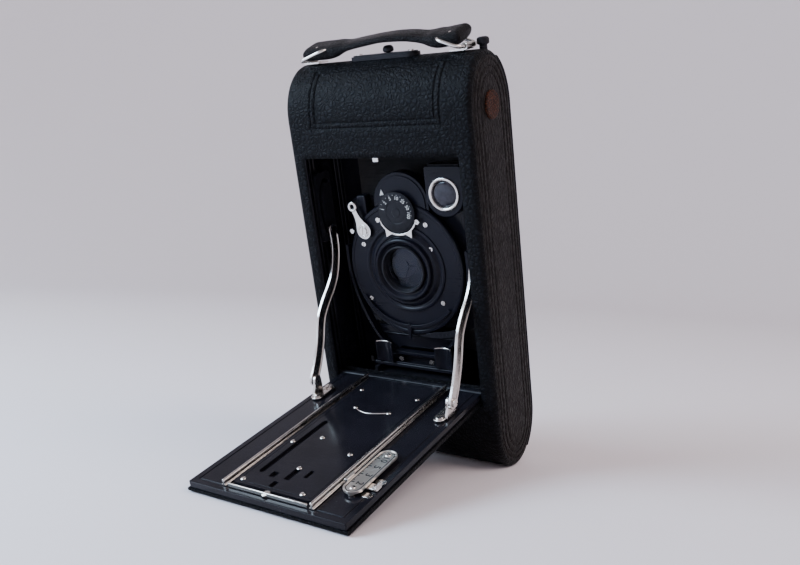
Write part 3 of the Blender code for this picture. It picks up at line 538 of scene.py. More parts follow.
def bellows_cloth():
    made = Finish("bellows_cloth", (0.012, 0.012, 0.013), 0.75)
    made.set(Sheen_Weight=0.15)
    grain = made.fit(made.cells(0.7), 0.0, 0.3, smooth=True)
    made.bump(grain, 0.05, 0.7)
    edge = made.fit(made.pointed(), 0.52, 0.62)
    made.colour(made.mix(edge, (0.006, 0.006, 0.007), (0.02, 0.018, 0.017)))
    made.set(Specular_IOR_Level=0.2)
    made.roughness(made.fit(made.noise(5, 3), 0.3, 0.7, 0.6, 0.85))
    return made


def glass(slot, colour, gloss=0.03):
    made = Finish(slot, colour, gloss)
    made.set(Transmission_Weight=1.0, IOR=1.18)
    made.roughness(made.fit(made.noise(7, 4), 0.35, 0.7, gloss, gloss * 2))
    return made


def ruby():
    made = Finish("ruby", (0.30, 0.012, 0.010), 0.12)
    made.set(Coat_Weight=0.8, Coat_Roughness=0.05)
    made.colour(made.mix(made.fit(made.noise(2.5, 3), 0.35, 0.65), (0.22, 0.008, 0.008),
                         (0.36, 0.02, 0.015)))
    return made


# Each leather's colours: painted shade in the creases, its own colour, and the lighter wear and painted sheen
# of its cell tops.
LEATHER_FRONT = leather("leather_front", (0.0014, 0.0014, 0.0018), (0.0044, 0.0050, 0.0068),
                        (0.016, 0.017, 0.022), 2.1)
LEATHER_SIDE = leather("leather_side", (0.005, 0.0042, 0.004), (0.016, 0.0135, 0.0128),
                       (0.052, 0.043, 0.038), 1.5, (1, 1, 2.4), 0.8, (0.42, 0.6))
WORN_LEATHER = leather("worn_leather", (0.012, 0.006, 0.004), (0.088, 0.028, 0.014), (0.17, 0.07, 0.035),
                       1.2, (1, 1, 1), 0.9)
STRAP_LEATHER = leather("strap_leather", (0.0035, 0.003, 0.0035), (0.0095, 0.0085, 0.0098),
                        (0.034, 0.030, 0.032), 0.8, (2.2, 1, 1), 0.5, (0.28, 0.42))
BELLOWS_CLOTH = bellows_cloth()
ENAMEL = enamel("enamel", (0.0062, 0.0060, 0.0085), 0.16)
SHUTTER_ENAMEL = enamel("shutter_enamel", (0.0036, 0.0036, 0.0066), 0.34, 0.2)
BLACK_METAL = black_metal("black_metal")
NICKEL = nickel("nickel")
NICKEL_SCALE = nickel("nickel_scale", (0.84, 0.80, 0.73), (0.28, 0.42), 0.2)
LENS_GLASS = glass("lens_glass", (0.86, 0.90, 1.0))
RUBY = ruby()


# ---------------------------------------------------------------- pieces

def put(name, mesh, finish, body, stands_for=(), bevel=0.0, sharp=35.0, more=(), segments=2):
    """Places a mesh drawn in upright millimetres as a piece that rides on a body."""
    mesh.transform(Matrix.Scale(MM, 4))
    mesh.name = name
    mesh.shade_smooth()
    mesh.set_sharp_from_angle(angle=math.radians(sharp))
    mesh.materials.clear()
    for one in (finish, *more):
        mesh.materials.append(one.material)
    obj = linked(name, mesh)
    obj.matrix_world = UPRIGHT @ Matrix.Scale(1 / MM, 4)
    if bevel:
        step = obj.modifiers.new("edges", "BEVEL")
        step.width = bevel * MM
        step.segments = segments
        step.limit_method = "ANGLE"
        step.angle_limit = math.radians(32)
        step.harden_normals = False
    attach(obj, body)
    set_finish(obj, finish.slot)
    if stands_for:
        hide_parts(*stands_for)
    return obj


def thicken(obj, thickness):
    """Gives a sheet its thickness, inwards. Its second material goes on the inside and on the rims."""
    step = obj.modifiers.new("thickness", "SOLIDIFY")
    step.thickness = thickness * MM
    step.offset = -1
    step.material_offset = 1
    step.material_offset_rim = 1


def refinish(node, finish, bevel=0.0):
    """Keeps a CAD node and gives it a better material and softened edges."""
    obj = frame["nodes"][node]
    obj.data.materials.clear()
    obj.data.materials.append(finish.material)
    if bevel:
        weld = obj.modifiers.new("weld", "WELD")
        weld.merge_threshold = 0.00001
        plain = obj.modifiers.new("flat", "DECIMATE")
        plain.decimate_type = "DISSOLVE"
        plain.angle_limit = math.radians(1)
        step = obj.modifiers.new("edges", "BEVEL")
        step.width = bevel * MM
        step.segments = 2
        step.limit_method = "ANGLE"
        step.angle_limit = math.radians(40)
    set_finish(obj, finish.slot)


# ---------------------------------------------------------------- leather case

SIDE_LOW, SIDE_HIGH = span("case_side_right")
BACK_LOW, BACK_HIGH = span("back_cover")
HALF_WIDTH = SIDE_HIGH.x
HEIGHT = SIDE_HIGH.z
DEPTH = BACK_HIGH.y
MID = DEPTH / 2
END = span("case_front")[0].z - 0.3
SPLIT = span("case_end_lower")[1].y
# The rounding of the leather at the body's sides, and half the width of an impressed line.
EDGE = 2.6
GROOVE_HALF = 0.55
GROOVE = (-GROOVE_HALF, -0.25, 0.0, 0.25, GROOVE_HALF)


def outline_point(s, inset):
    """A point (y, z) on the body's outline. s runs 0 to 1 round the lower end from the back to the front,
    1 to 2 up the front, and 2 to 3 round the upper end from the front to the back."""
    reach, rise = MID - inset, END - inset
    if s <= 1:
        t = math.pi * (1 - s)
        return MID - reach * math.cos(t), END - rise * math.sin(t)
    if s < 2:
        return inset, between(END, HEIGHT - END, s - 1)
    t = math.pi * (s - 2)
    return MID - reach * math.cos(t), HEIGHT - END + rise * math.sin(t)


def outline_normal(s):
    a, b = (Vector(outline_point(s + d, 0)) for d in (-0.002, 0.002))
    along = (b - a).normalized()
    return Vector((-along.y, along.x))


def share_at_depth(y):
    """The share of an end's half turn at which its outer line reaches a depth."""
    return math.acos((MID - y) / MID) / math.pi


def groove_depth(value, lines):
    """How deep an impressed line is, 0 to 1, at a distance along one direction."""
    best = 0.0
    for line in lines:
        off = abs(value - line)
        if off < GROOVE_HALF:
            best = max(best, 1 - (off / GROOVE_HALF) ** 2)
    return best


def with_grooves(values, lines):
    """A sorted list of places with more of them across each impressed line."""
    extra = [line + off for line in lines for off in GROOVE]
    kept = [v for v in values if all(abs(v - e) > 0.2 for e in extra)]
    return sorted(kept + extra)


def front_skin():
    """The leather that covers the front and both ends, with its opening and its impressed border."""
    turn = share_at_depth(SPLIT)
    opening_low, opening_high = OPENING[1], OPENING[3]
    # The border's outer and inner line: across, and along the outline as s.
    border_x = (-35.2, -32.4, 32.4, 35.2)
    border_s = (2 - 3.8 / 153, 2 - 1.4 / 153, 2.315, 2.345)
    # Half of a line's width, as s.
    s_half = 0.0041

    def s_of(z):
        return 1 + (z - END) / (HEIGHT - END - END)

    rows = [1 - turn + turn * i / 26 for i in range(26)]
    rows += [1 + i / 50 for i in range(51)]
    rows += [2 + turn * i / 30 for i in range(1, 31)]
    edges = [s_of(opening_low), s_of(opening_high)]
    narrow = [line + off for line in border_s for off in (-0.0040, -0.0018, 0, 0.0018, 0.0040)]
    fixed = sorted(edges + narrow)
    rows = sorted([s for s in rows if all(abs(s - f) > 0.003 for f in fixed)] + fixed)
    inner = HALF_WIDTH - EDGE
    columns = with_grooves([-inner + 2 * inner * i / 36 for i in range(37)], border_x)
    clear = [x for x in columns if abs(abs(x) - OPENING[2]) > 0.4]
    columns = sorted(clear + [-OPENING[2], OPENING[2]])
    rounding = [math.radians(a) for a in (15, 30, 45, 60, 75, 90)]
    stations = [(-inner - EDGE * math.sin(a), EDGE - EDGE * math.cos(a)) for a in reversed(rounding)]
    stations += [(x, 0.0) for x in columns]
    stations += [(inner + EDGE * math.sin(a), EDGE - EDGE * math.cos(a)) for a in rounding]

    def sunk(s, x):
        in_x = border_x[0] - 0.6 <= x <= border_x[-1] + 0.6
        in_s = border_s[0] - 0.004 <= s <= border_s[-1] + 0.004
        if not (in_x and in_s):
            return 0.0
        down = 0.0
        outer_line = (border_x[3], border_s[0], border_s[3])
        inner_line = (border_x[2], border_s[1], border_s[2])
        for x_line, s_low, s_high in (outer_line, inner_line):
            near_x = abs(x) <= x_line + GROOVE_HALF
            near_s = s_low - s_half <= s <= s_high + s_half
            if near_s and near_x:
                down = max(down, groove_depth(abs(x), [x_line]))
                for line in (s_low, s_high):
                    off = abs(s - line) / s_half
                    if off < 1:
                        down = max(down, 1 - off * off)
        return down * 0.45

    grid = []
    for s in rows:
        across = outline_normal(s)
        row = []
        for x, inset in stations:
            y, z = outline_point(s, inset)
            down = sunk(s, x)
            row.append((x, y - across.x * down, z - across.y * down))
        grid.append(row)

    def outside_opening(i, j):
        mid_s = (rows[i] + rows[i + 1]) / 2
        mid_x = (stations[j][0] + stations[j + 1][0]) / 2
        return not (edges[0] < mid_s < edges[1] and abs(mid_x) < OPENING[2])

    skin = put("case_leather", surface(grid, keep=outside_opening), LEATHER_FRONT, "camera_body",
               ("case_front", "case_end_upper", "case_end_lower"), more=(ENAMEL,), sharp=50)
    face_out(skin, Vector((0, MID, HEIGHT / 2)))
    thicken(skin, 2.2)


def face_out(obj, middle):
    """Turns a sheet's faces away from a point in upright millimetres."""
    shape = bmesh.new()
    shape.from_mesh(obj.data)
    bmesh.ops.recalc_face_normals(shape, faces=shape.faces)
    middle = middle * MM
    vote = sum(f.calc_area() * (f.calc_center_median() - middle).normalized().dot(f.normal)
               for f in shape.faces)
    if vote < 0:
        bmesh.ops.reverse_faces(shape, faces=shape.faces)
    shape.to_mesh(obj.data)
    shape.free()


def side_skin(name, node, side):
    """A side's leather, with impressed lines that follow its outline."""
    lines = (4.4, 7.2, 10.4)
    insets = with_grooves([EDGE + 0.05, EDGE + 1, 6.0, 9.0, 12.0, 15.0, 18.0, MID - 1.2], lines)
    ring = [i / 24 for i in range(25)] + [1 + i / 30 for i in range(1, 30)]
    ring += [2 + i / 24 for i in range(25)]
    grid = []
    for inset in insets:
        down = groove_depth(inset, lines) * 0.4
        row = [(side * (HALF_WIDTH - down), *outline_point(s, inset)) for s in ring]
        row += [(side * (HALF_WIDTH - down), DEPTH - inset, between(HEIGHT - END, END, i / 30))
                for i in range(1, 30)]
        grid.append(row)

    def inner_rim(edge):
        return all(abs(v.co.y - MID) < 1.3 for v in edge.verts)

    mesh = closed_up(surface(grid, closed=True), inner_rim, outwards=False)
    skin = put(name, mesh, LEATHER_SIDE, "camera_body", (node,), more=(ENAMEL,), sharp=50)
    face_out(skin, Vector((0, MID, HEIGHT / 2)))
    thicken(skin, 2.6)


def back_skin():
    """The removable back's leather, wrapped round both ends, with a border line."""
    start = share_at_depth(BACK_LOW.y)
    edge = 1.1
    inner = HALF_WIDTH - edge
    lines = (-40.0, -37.4, 37.4, 40.0)
    columns = with_grooves([-inner + 2 * inner * i / 24 for i in range(25)], lines)
    rounding = [math.radians(a) for a in (30, 60, 90)]
    stations = [(-inner - edge * math.sin(a), edge - edge * math.cos(a)) for a in reversed(rounding)]
    stations += [(x, 0.0) for x in columns]
    stations += [(inner + edge * math.sin(a), edge - edge * math.cos(a)) for a in rounding]
    top = [("upper", start + (1 - start) * i / 18) for i in range(19)]
    flat = [("flat", i / 30) for i in range(1, 30)]
    low = [("lower", 1 - (1 - start) * i / 18) for i in range(19)]
    grid = []
    for kind, t in top + flat + low:
        row = []
        for x, inset in stations:
            down = groove_depth(x, lines) * 0.4
            angle = math.pi * t
            if kind == "flat":
                y, z = DEPTH - inset - down, between(HEIGHT - END, END, t)
            else:
                reach, rise = MID - inset - down, END - inset - down
                y = MID - reach * math.cos(angle)
                z = HEIGHT - END + rise * math.sin(angle) if kind == "upper" else END - rise * math.sin(angle)
            row.append((x, y, z))
        grid.append(row)
    skin = put("back_leather", surface(grid), LEATHER_FRONT, "back", ("back_cover",), more=(BLACK_METAL,),
               sharp=50)
    face_out(skin, Vector((0, MID, HEIGHT / 2)))
    thicken(skin, 2.3)


def opening_box():
    """The opening's edges in (x, z), from the front plate that holds it."""
    side = span("bed_panel")[1].x + 0.7
    chamber_low = span("chamber_wall_lower")[1].z
    chamber_high = span("chamber_wall_upper")[0].z
    return (-side, chamber_low + 2.1, side, chamber_high - 2.0)


OPENING = opening_box()


def worn_disc():
    low, high = span("spindle_cap")
    middle = (low + high) / 2
    radius = (high.z - low.z) / 2
    top = high.x
    profile = [(0, HALF_WIDTH - 0.2), (radius, HALF_WIDTH - 0.2), (radius, top - 0.45),
               (radius - 0.3, top - 0.1), (radius - 0.9, top), (0, top + 0.05)]
    put("side_disc", turned(profile, "X", (0, middle.y, middle.z)), WORN_LEATHER, "camera_body",
        ("spindle_cap",))


def window():
    low, high = span("frame_window")
    x, z, radius = (low.x + high.x) / 2, (low.z + high.z) / 2, (high.x - low.x) / 2
    ring = [(radius + 1.2, DEPTH - 0.3), (radius + 1.2, DEPTH + 0.25), (radius + 0.7, DEPTH + 0.55),
            (radius - 0.3, DEPTH + 0.45), (radius - 0.5, DEPTH - 0.3)]
    put("window_ring", turned(ring, "Y", (x, 0, z), ring=True), BLACK_METAL, "back")
    pane = [(0, DEPTH - 0.5), (radius, DEPTH - 0.5), (radius, DEPTH + 0.1), (radius * 0.6, DEPTH + 0.22),
            (0, DEPTH + 0.28)]
    put("window_pane", turned(pane, "Y", (x, 0, z)), RUBY, "back", ("frame_window",))


def catch():
    """The bed's spring catch: a black leaf under the upper wall, with a small bright hook."""
    low, high = span("bed_catch")
    leaf = extrude(rectangle(low.x, high.x, 4.6, high.y, 1.5), "Z", high.z - 0.9, high.z)
    hook = extrude([(7.2, low.z), (9.0, low.z + 0.6), (9.0, high.z - 0.6), (7.2, high.z - 0.6)], "X",
                   low.x + 4.4, low.x + 7.6)
    put("catch_leaf", leaf, BLACK_METAL, "camera_body", ("bed_catch",), 0.2)
    put("catch_hook", hook, NICKEL, "camera_body", (), 0.3, segments=3)


def case():
    front_skin()
    side_skin("side_leather_left", "case_side_left", -1)
    side_skin("side_leather_right", "case_side_right", 1)
    back_skin()
    worn_disc()
    window()
    for node in ("chamber_wall_upper", "chamber_wall_lower", "film_gate"):
        refinish(node, ENAMEL)
    for node in ("inner_track", "pressure_plate", "take_up_spool", "supply_spool", "brace_guide_left",
                 "brace_guide_right"):
        refinish(node, BLACK_METAL)
    for node in ("film_roller_upper", "film_roller_lower", "winding_key"):
        refinish(node, NICKEL, 0.25)
    refinish("bed_hinge_rod", BLACK_METAL)
    catch()


case()


# ---------------------------------------------------------------- handle

STRAP_LOW, STRAP_HIGH = span("handle_strap")
STRAP_MIDDLE = (STRAP_LOW + STRAP_HIGH) / 2
# The radius of the loops' wire.
WIRE = 0.8


def loop_bars():
    """For each end: the loop's outer bar, its inner bar and the inner bar's height."""
    bars = {}
    for side in ("left", "right"):
        low, high = span("handle_loop_" + side)
        outer, inner = (low.x + WIRE, high.x - WIRE) if side == "left" else (high.x - WIRE, low.x + WIRE)
        bars[side] = (outer, inner, high.z - WIRE, low.z + WIRE)
    return bars


def strap_line():
    """The strap's middle line, from its left fold over the arch to its right fold."""
    top = STRAP_HIGH.z - 2.0
    (_, left_bar, left_height, _), (_, right_bar, right_height, _) = loop_bars().values()
    return smooth_line([
        (STRAP_LOW.x + 2.2, left_height - 0.2), (left_bar - 6.0, left_height), (left_bar, left_height),
        (left_bar + 6, left_height + 0.6), (-14, top - 1.1), (0, top), (12, top - 0.4), (21, top - 1.7),
        (right_bar - 3, right_height + 0.5), (right_bar, right_height + 0.3),
        (right_bar + 5, right_height + 0.7), (STRAP_HIGH.x - 1.8, right_height + 1.2),
    ], 8)


def strap():
    """A folded leather strap: thick riveted ends, a thinner crowned middle, and stitched edges."""
    line = strap_line()
    (_, left_bar, *_), (_, right_bar, *_) = loop_bars().values()
    half_width = (STRAP_HIGH.y - STRAP_LOW.y) / 2
    rows = []
    last = len(line) - 1
    for i, point in enumerate(line):
        ahead = line[min(i + 1, last)] - line[max(i - 1, 0)]
        up = Vector((-ahead.y, ahead.x)).normalized()
        from_left, from_right = point.x - (left_bar + 6), (right_bar - 6) - point.x
        fold = max(1 / (1 + math.exp(from_left / 1.6)), 1 / (1 + math.exp(from_right / 1.6)))
        end = min(point.x - line[0].x, line[last].x - point.x)
        tip = math.sqrt(max(0.02, min(1.0, end / 2.6) * (2 - min(1.0, end / 2.6))))
        over = (1.7 + 1.4 * fold) * tip
        under = (1.7 + 1.8 * fold) * tip
        droop = math.radians(8 + 7 * min(1.0, abs(point.x + 1) / 26))
        wide = (half_width - 1.6 * (1 - fold) * math.sin(math.pi * min(1, end / 40))) * (0.8 + 0.2 * tip)
        row = []
        for k in range(32):
            angle = 2 * math.pi * k / 32
            a, b = math.cos(angle), math.sin(angle)
            across = math.copysign(abs(a) ** 0.45, a) * wide
            lift = math.copysign(abs(b) ** 0.75, b)
            lift *= over if b > 0 else under
            groove = 0.22 * math.exp(-((abs(across) - wide + 2.2) / 0.35) ** 2) if abs(b) > 0.3 else 0.0
            lift -= math.copysign(groove, b) if tip > 0.9 else 0.0
            turned_lift = lift * math.cos(droop) + across * math.sin(droop)
            place = point + up * turned_lift
            row.append((place.x, STRAP_MIDDLE.y + across * math.cos(droop) - lift * math.sin(droop),
                        place.y))
        rows.append(row)
    mesh = closed_up(surface(rows, closed=True))
    put("strap_leather", mesh, STRAP_LEATHER, "camera_body", ("handle_strap",), sharp=70)
    rivets = []
    for bar, side in ((left_bar, 1), (right_bar, -1)):
        x = bar - side * 6.0
        k = min(range(len(line)), key=lambda i: abs(line[i].x - x))
        ahead = line[k + 1] - line[k - 1]
        lean = math.degrees(math.atan2(ahead.y, ahead.x))
        for offset in (-4.0, 4.0):
            head = moved(rivet_head(1.3, 0.6), shift(0, offset, 2.3), turn_about("X", 13),
                         turn_about("Y", -lean), shift(line[k].x, STRAP_MIDDLE.y, line[k].y))
            rivets.append(head)
    put("strap_rivets", gathered(*rivets), NICKEL, "camera_body")


def loops():
    """Flattened wire loops, rounded at the corners, and the rolled lugs that hold them."""
    for side, (outer, inner, high, low) in loop_bars().items():
        y_low, y_high = span("handle_loop_" + side)[0].y + WIRE, span("handle_loop_" + side)[1].y - WIRE
        flat = rectangle(min(outer, inner), max(outer, inner), y_low, y_high, 3.2, 8)
        slope = (high - low) / (inner - outer)
        wire = tube([(x, y, low + slope * (x - outer)) for x, y in flat], WIRE, True, 6)
        put("loop_" + side, wire, NICKEL, "camera_body", ("handle_loop_" + side,), sharp=80)
        refinish("handle_lug_" + side, NICKEL, 0.2)


def top_plate():
    """The plate the back's latch slides in: a long oval with a raised rim, a slot and two screws."""
    low, high = span("latch_plate")
    middle = (low + high) / 2
    half = (high.y - low.y) / 2
    ends = [(low.x + half, middle.y), (high.x - half, middle.y)]
    slot = ribbon([(-4, middle.y), (4, middle.y)], 1.3)
    plate = extrude(ribbon(ends, half, 16), "Z", low.z - 0.8, high.z - 0.5, [slot])
    rim = extrude(ribbon(ends, half - 1.0, 16), "Z", high.z - 0.6, high.z, [slot])
    put("top_plate", gathered(plate, rim), BLACK_METAL, "camera_body", ("latch_plate",), 0.3)
    heads = [moved(screw_head(1.4, 0.7), turn_about("Z", turn), shift(x, middle.y, high.z - 0.1))
             for x, turn in ((low.x + 4.0, 30), (high.x - 4.0, 75))]
    put("top_plate_screws", gathered(*heads), NICKEL, "camera_body")
    low, high = span("latch_knob")
    stem = low.z
    knob = [(0, stem), (1.0, stem), (1.0, stem + 1.7), (1.9, stem + 1.8), (2.5, stem + 2.3),
            (2.6, stem + 3.0), (2.45, stem + 3.8), (2.0, stem + 4.5), (1.2, stem + 4.9), (0, high.z)]
    put("top_knob", turned(knob, "Z", ((low.x + high.x) / 2, (low.y + high.y) / 2, 0), 32), BLACK_METAL,
        "latch", ("latch_knob",))
    low, high = span("back_button")
    base = low.z
    profile = [(0, base - 2.5), (1.8, base - 2.5), (1.8, base + 1.6), (2.5, base + 1.9), (2.8, base + 2.4),
               (2.8, base + 4.0), (2.5, base + 4.7), (1.6, base + 5.1), (0, high.z)]
    put("rear_button", turned(profile, "Z", ((low.x + high.x) / 2, (low.y + high.y) / 2, 0), 32),
        BLACK_METAL, "camera_body", ("back_button",))


strap()
loops()
top_plate()


# ---------------------------------------------------------------- bed

BED_LOW, BED_HIGH = span("bed_panel")
BED_TOP = BED_HIGH.z
TIP = BED_LOW.y
HINGE = TO_UPRIGHT @ Vector(joint("bed_hinge")["pos_m"])


def bed():
    """The enamelled inside of the bed over its leather-covered outside, both with worked rims."""
    split = BED_TOP - 3.0
    half = BED_HIGH.x
    rear = HINGE.y + 3.0
    channel = extrude(rectangle(-half - 1, half + 1, HINGE.y - 1.5, HINGE.y + 1.5), "Z", HINGE.z,
                      BED_TOP + 1)
    tray = extrude(rectangle(-half + 0.7, half - 0.7, TIP + 0.6, rear, 0.8), "Z", split, BED_TOP)
    groove_out = rectangle(-half + 3.6, half - 3.6, TIP + 3.8, rear + 20, 0.6)
    groove_in = rectangle(-half + 4.2, half - 4.2, TIP + 4.4, rear + 19, 0.4)
    groove = extrude(groove_out, "Z", BED_TOP - 0.3, BED_TOP + 1, [groove_in])
    tray = cut(tray, groove, channel)
    put("bed_inside", tray, ENAMEL, "bed", ("bed_panel",), 0.45, segments=3)
    roll = arc((HINGE.y, HINGE.z), HINGE.z - BED_LOW.z - 0.2, -90, 40, 14)
    outline = [(TIP + 0.1, split - 0.02), (TIP, split - 0.9), (TIP, BED_LOW.z + 1.4)]
    outline += [(y, z) for y, z in arc((TIP + 1.4, BED_LOW.z + 1.4), 1.4, 180, 270, 5)][1:]
    outline += [(-1.2, BED_LOW.z), (-0.8, BED_LOW.z + 0.2), *roll, (HINGE.y + 2.0, split - 0.02)]
    lid = extrude(outline, "X", -half, half)
    rod = extrude(circle((HINGE.y, HINGE.z), 1.5, 24), "X", -half - 1, half + 1)
    line = extrude(rectangle(-half + 4.6, half - 4.6, TIP + 4.8, -4.0, 2.0), "Z", BED_LOW.z - 1,
                   BED_LOW.z + 0.35, [rectangle(-half + 5.4, half - 5.4, TIP + 5.6, -4.8, 1.6)])
    inner_line = extrude(rectangle(-half + 7.4, half - 7.4, TIP + 7.6, -6.8, 1.6), "Z", BED_LOW.z - 1,
                         BED_LOW.z + 0.35, [rectangle(-half + 8.2, half - 8.2, TIP + 8.4, -7.6, 1.2)])
    lid = cut(lid, rod, channel, line, inner_line)
    put("bed_leather", lid, LEATHER_FRONT, "bed", (), 0.5, segments=3)
    knuckle = [(1.22, 0), (1.47, 0), (1.47, 1), (1.22, 1)]
    cuts = [between(-half, half, i / 5) for i in range(6)]
    for body, starts in (("bed", (0, 2, 4)), ("camera_body", (1, 3))):
        barrels = [turned([(r, between(cuts[i] + 0.15, cuts[i + 1] - 0.15, t)) for r, t in knuckle], "X",
                          (0, HINGE.y, HINGE.z), 32, True) for i in starts]
        put("hinge_knuckles_" + body, gathered(*barrels), BLACK_METAL, body, (), 0.12)


# The rivets on the track plate, as (x, y).
RIVETS = ((-17.4, -100.9), (14.2, -101.0), (0.4, -85.7), (-17.2, -68.2), (-6.1, -60.9), (14.6, -68.7),
          (-8.6, -30.9), (10.1, -31.0), (-16.7, -13.9), (16.0, -14.6))


def track():
    """The raised track plate, with its slots, rivets and a pressed arc."""
    low, high = span("bed_track")
    outside = rectangle(low.x, high.x, low.y, high.y, 2.0)
    long_slot = ribbon([(-14.0, -92.6), (-14.0, -48.5)], 1.5)
    windows = ((-2.2, 1.3, -101.6, -97.4), (0.6, 1.5, -95.0, -86.8), (7.4, 1.0, -91.0, -85.4),
               (-7.0, 1.6, -95.5, -91.5))
    small = [rectangle(x - half, x + half, front, back, 0.4) for x, half, front, back in windows]
    put("track_plate", extrude(outside, "Z", low.z, high.z, [long_slot, *small]), ENAMEL, "bed",
        ("bed_track",), 0.25)
    top = high.z
    heads = [moved(rivet_head(1.25, 0.55), shift(x, y, top)) for x, y in RIVETS]
    put("track_rivets", gathered(*heads), NICKEL, "bed")
    bow = [(p.x, p.y, top + 0.02) for p in smooth_line([(-8.4, -31.4), (-4.6, -33.6), (1.0, -34.4),
                                                        (9.9, -31.4)], 8)]
    put("track_bow", tube(bow, 0.3), NICKEL, "bed")
    wall = extrude(rectangle(low.x + 1.6, high.x - 1.6, low.y + 1.6, high.y - 1.0, 1.4), "Z", top - 0.05,
                   top + 0.14, [rectangle(low.x + 2.2, high.x - 2.2, low.y + 2.2, high.y - 1.6, 1.0)])
    put("track_border", wall, ENAMEL, "bed", (), 0.05)


def rails():
    """The nickel rails: a flat foot, a waist and a rounded head. The front strip joins them."""
    for side in ("left", "right"):
        node = "bed_rail_" + side
        low, high = span(node)
        x, base, top = (low.x + high.x) / 2, low.z, high.z
        half = [(1.2, base), (1.2, base + 0.4), (0.5, base + 0.55), (0.5, top - 1.0)]
        bulb = arc((0, top - 0.75), 0.75, -15, 90, 8)
        section = [(x + a, z) for a, z in half + bulb] + [(x - a, z) for a, z in reversed(half + bulb[:-1])]
        put("rail_" + side, extrude(section, "Y", low.y, high.y), NICKEL, "bed", (node,), 0.1)
    low, high = span("cross_strip")
    strip = extrude(rectangle(low.x, high.x, low.y, low.y + 0.7), "Z", low.z, high.z - 0.5)
    tab = extrude(ribbon([(-1.0, low.y + 0.8), (-1.0, high.y - 1.0)], 1.6), "Z", low.z, low.z + 0.8)
    put("front_strip", strip, NICKEL, "bed", ("cross_strip",), 0.2)
    put("front_tab", tab, NICKEL, "bed", (), 0.15)


def distance_scale():
    """The focusing scale: a nickel plate with sunk marks and numbers, two rivets and a raised rim."""
    low, high = span("focus_scale")
    x, half = (low.x + high.x) / 2, (high.x - low.x) / 2
    top = high.z
    ends = [(x, low.y + half), (x, high.y - half)]
    plate = extrude(ribbon(ends, half, 20), "Z", top - 1.1, top - 0.25)
    rim = extrude(ribbon(ends, half, 20), "Z", top - 0.3, top, [ribbon(ends, half - 0.6, 20)])
    posts = [extrude(circle((x, y), 1.6, 24), "Z", low.z, top - 1.0) for y in (low.y + 2.4, high.y - 2.4)]
    put("scale_plate", gathered(plate, rim, *posts), NICKEL_SCALE, "bed", ("focus_scale",), 0.12)
    heads = [moved(rivet_head(1.3, 0.5), shift(x, y, top - 0.25)) for y in (low.y + 3.6, high.y - 3.6)]
    put("scale_rivets", gathered(*heads), NICKEL, "bed")
    marks = []
    first, last = low.y + 7.2, high.y - 7.2
    for i, number in enumerate(("2", "3", "5", "10")):
        y = between(first, last, i / 3)
        marks.append(moved(lettering(number, 3.2), turn_about("Z", -90), shift(x + 0.9, y, top - 0.22)))
        marks.append(extrude(rectangle(x - 3.6, x - 1.7, y - 0.26, y + 0.26), "Z", top - 0.27, top - 0.18))
    for i in range(6):
        y = between(first, last, (i + 0.5) / 6)
        marks.append(extrude(rectangle(x - 3.6, x - 2.5, y - 0.18, y + 0.18), "Z", top - 0.27, top - 0.18))
    marks.append(extrude(ribbon(ends, half - 0.9, 20), "Z", top - 0.27, top - 0.2,
                         [ribbon(ends, half - 1.25, 20)]))
    put("scale_marks", gathered(*marks), BLACK_METAL, "bed", sharp=20)


def stop():
    """The focusing stop: a tongue under the scale, a pointer beside it and a ribbed finger tab."""
    low, high = span("focus_stop")
    y_low, y_high = low.y, high.y
    middle = (y_low + y_high) / 2
    tongue = extrude(rectangle(low.x, high.x, y_low + 0.6, y_high - 0.6, 0.5), "Z", low.z, low.z + 0.75)
    pointer = extrude([(low.x, y_low), (low.x + 1.7, y_low + 0.4), (low.x + 1.7, y_high),
                       (low.x, y_high + 2.4)],
                      "Z", low.z + 0.5, high.z)
    leaf = extrude(rectangle(high.x - 1.3, high.x - 0.5, y_low, y_high, 0.4), "Z", low.z + 0.5,
                   high.z - 0.4)
    ribs = [extrude(rectangle(high.x - 0.6, high.x, y - 0.25, y + 0.25), "Z", low.z + 0.6, high.z - 0.5)
            for y in [between(y_low + 0.5, y_high - 0.5, i / 5) for i in range(6)]]
    put("stop_tongue", gathered(tongue, pointer), NICKEL_SCALE, "stop", ("focus_stop",), 0.15)
    put("stop_tab", gathered(leaf, *ribs), NICKEL, "stop", (), 0.1)
    for i, (x, y) in enumerate(((high.x - 2.6, middle - 5.2), (high.x - 2.6, middle + 5.0))):
        tab = extrude(ribbon([(x - 1.0, y), (x + 1.0, y)], 1.5), "Z", BED_TOP + 0.02, low.z - 0.06)
        put(f"scale_foot_{i}", tab, NICKEL, "bed", (), 0.05)


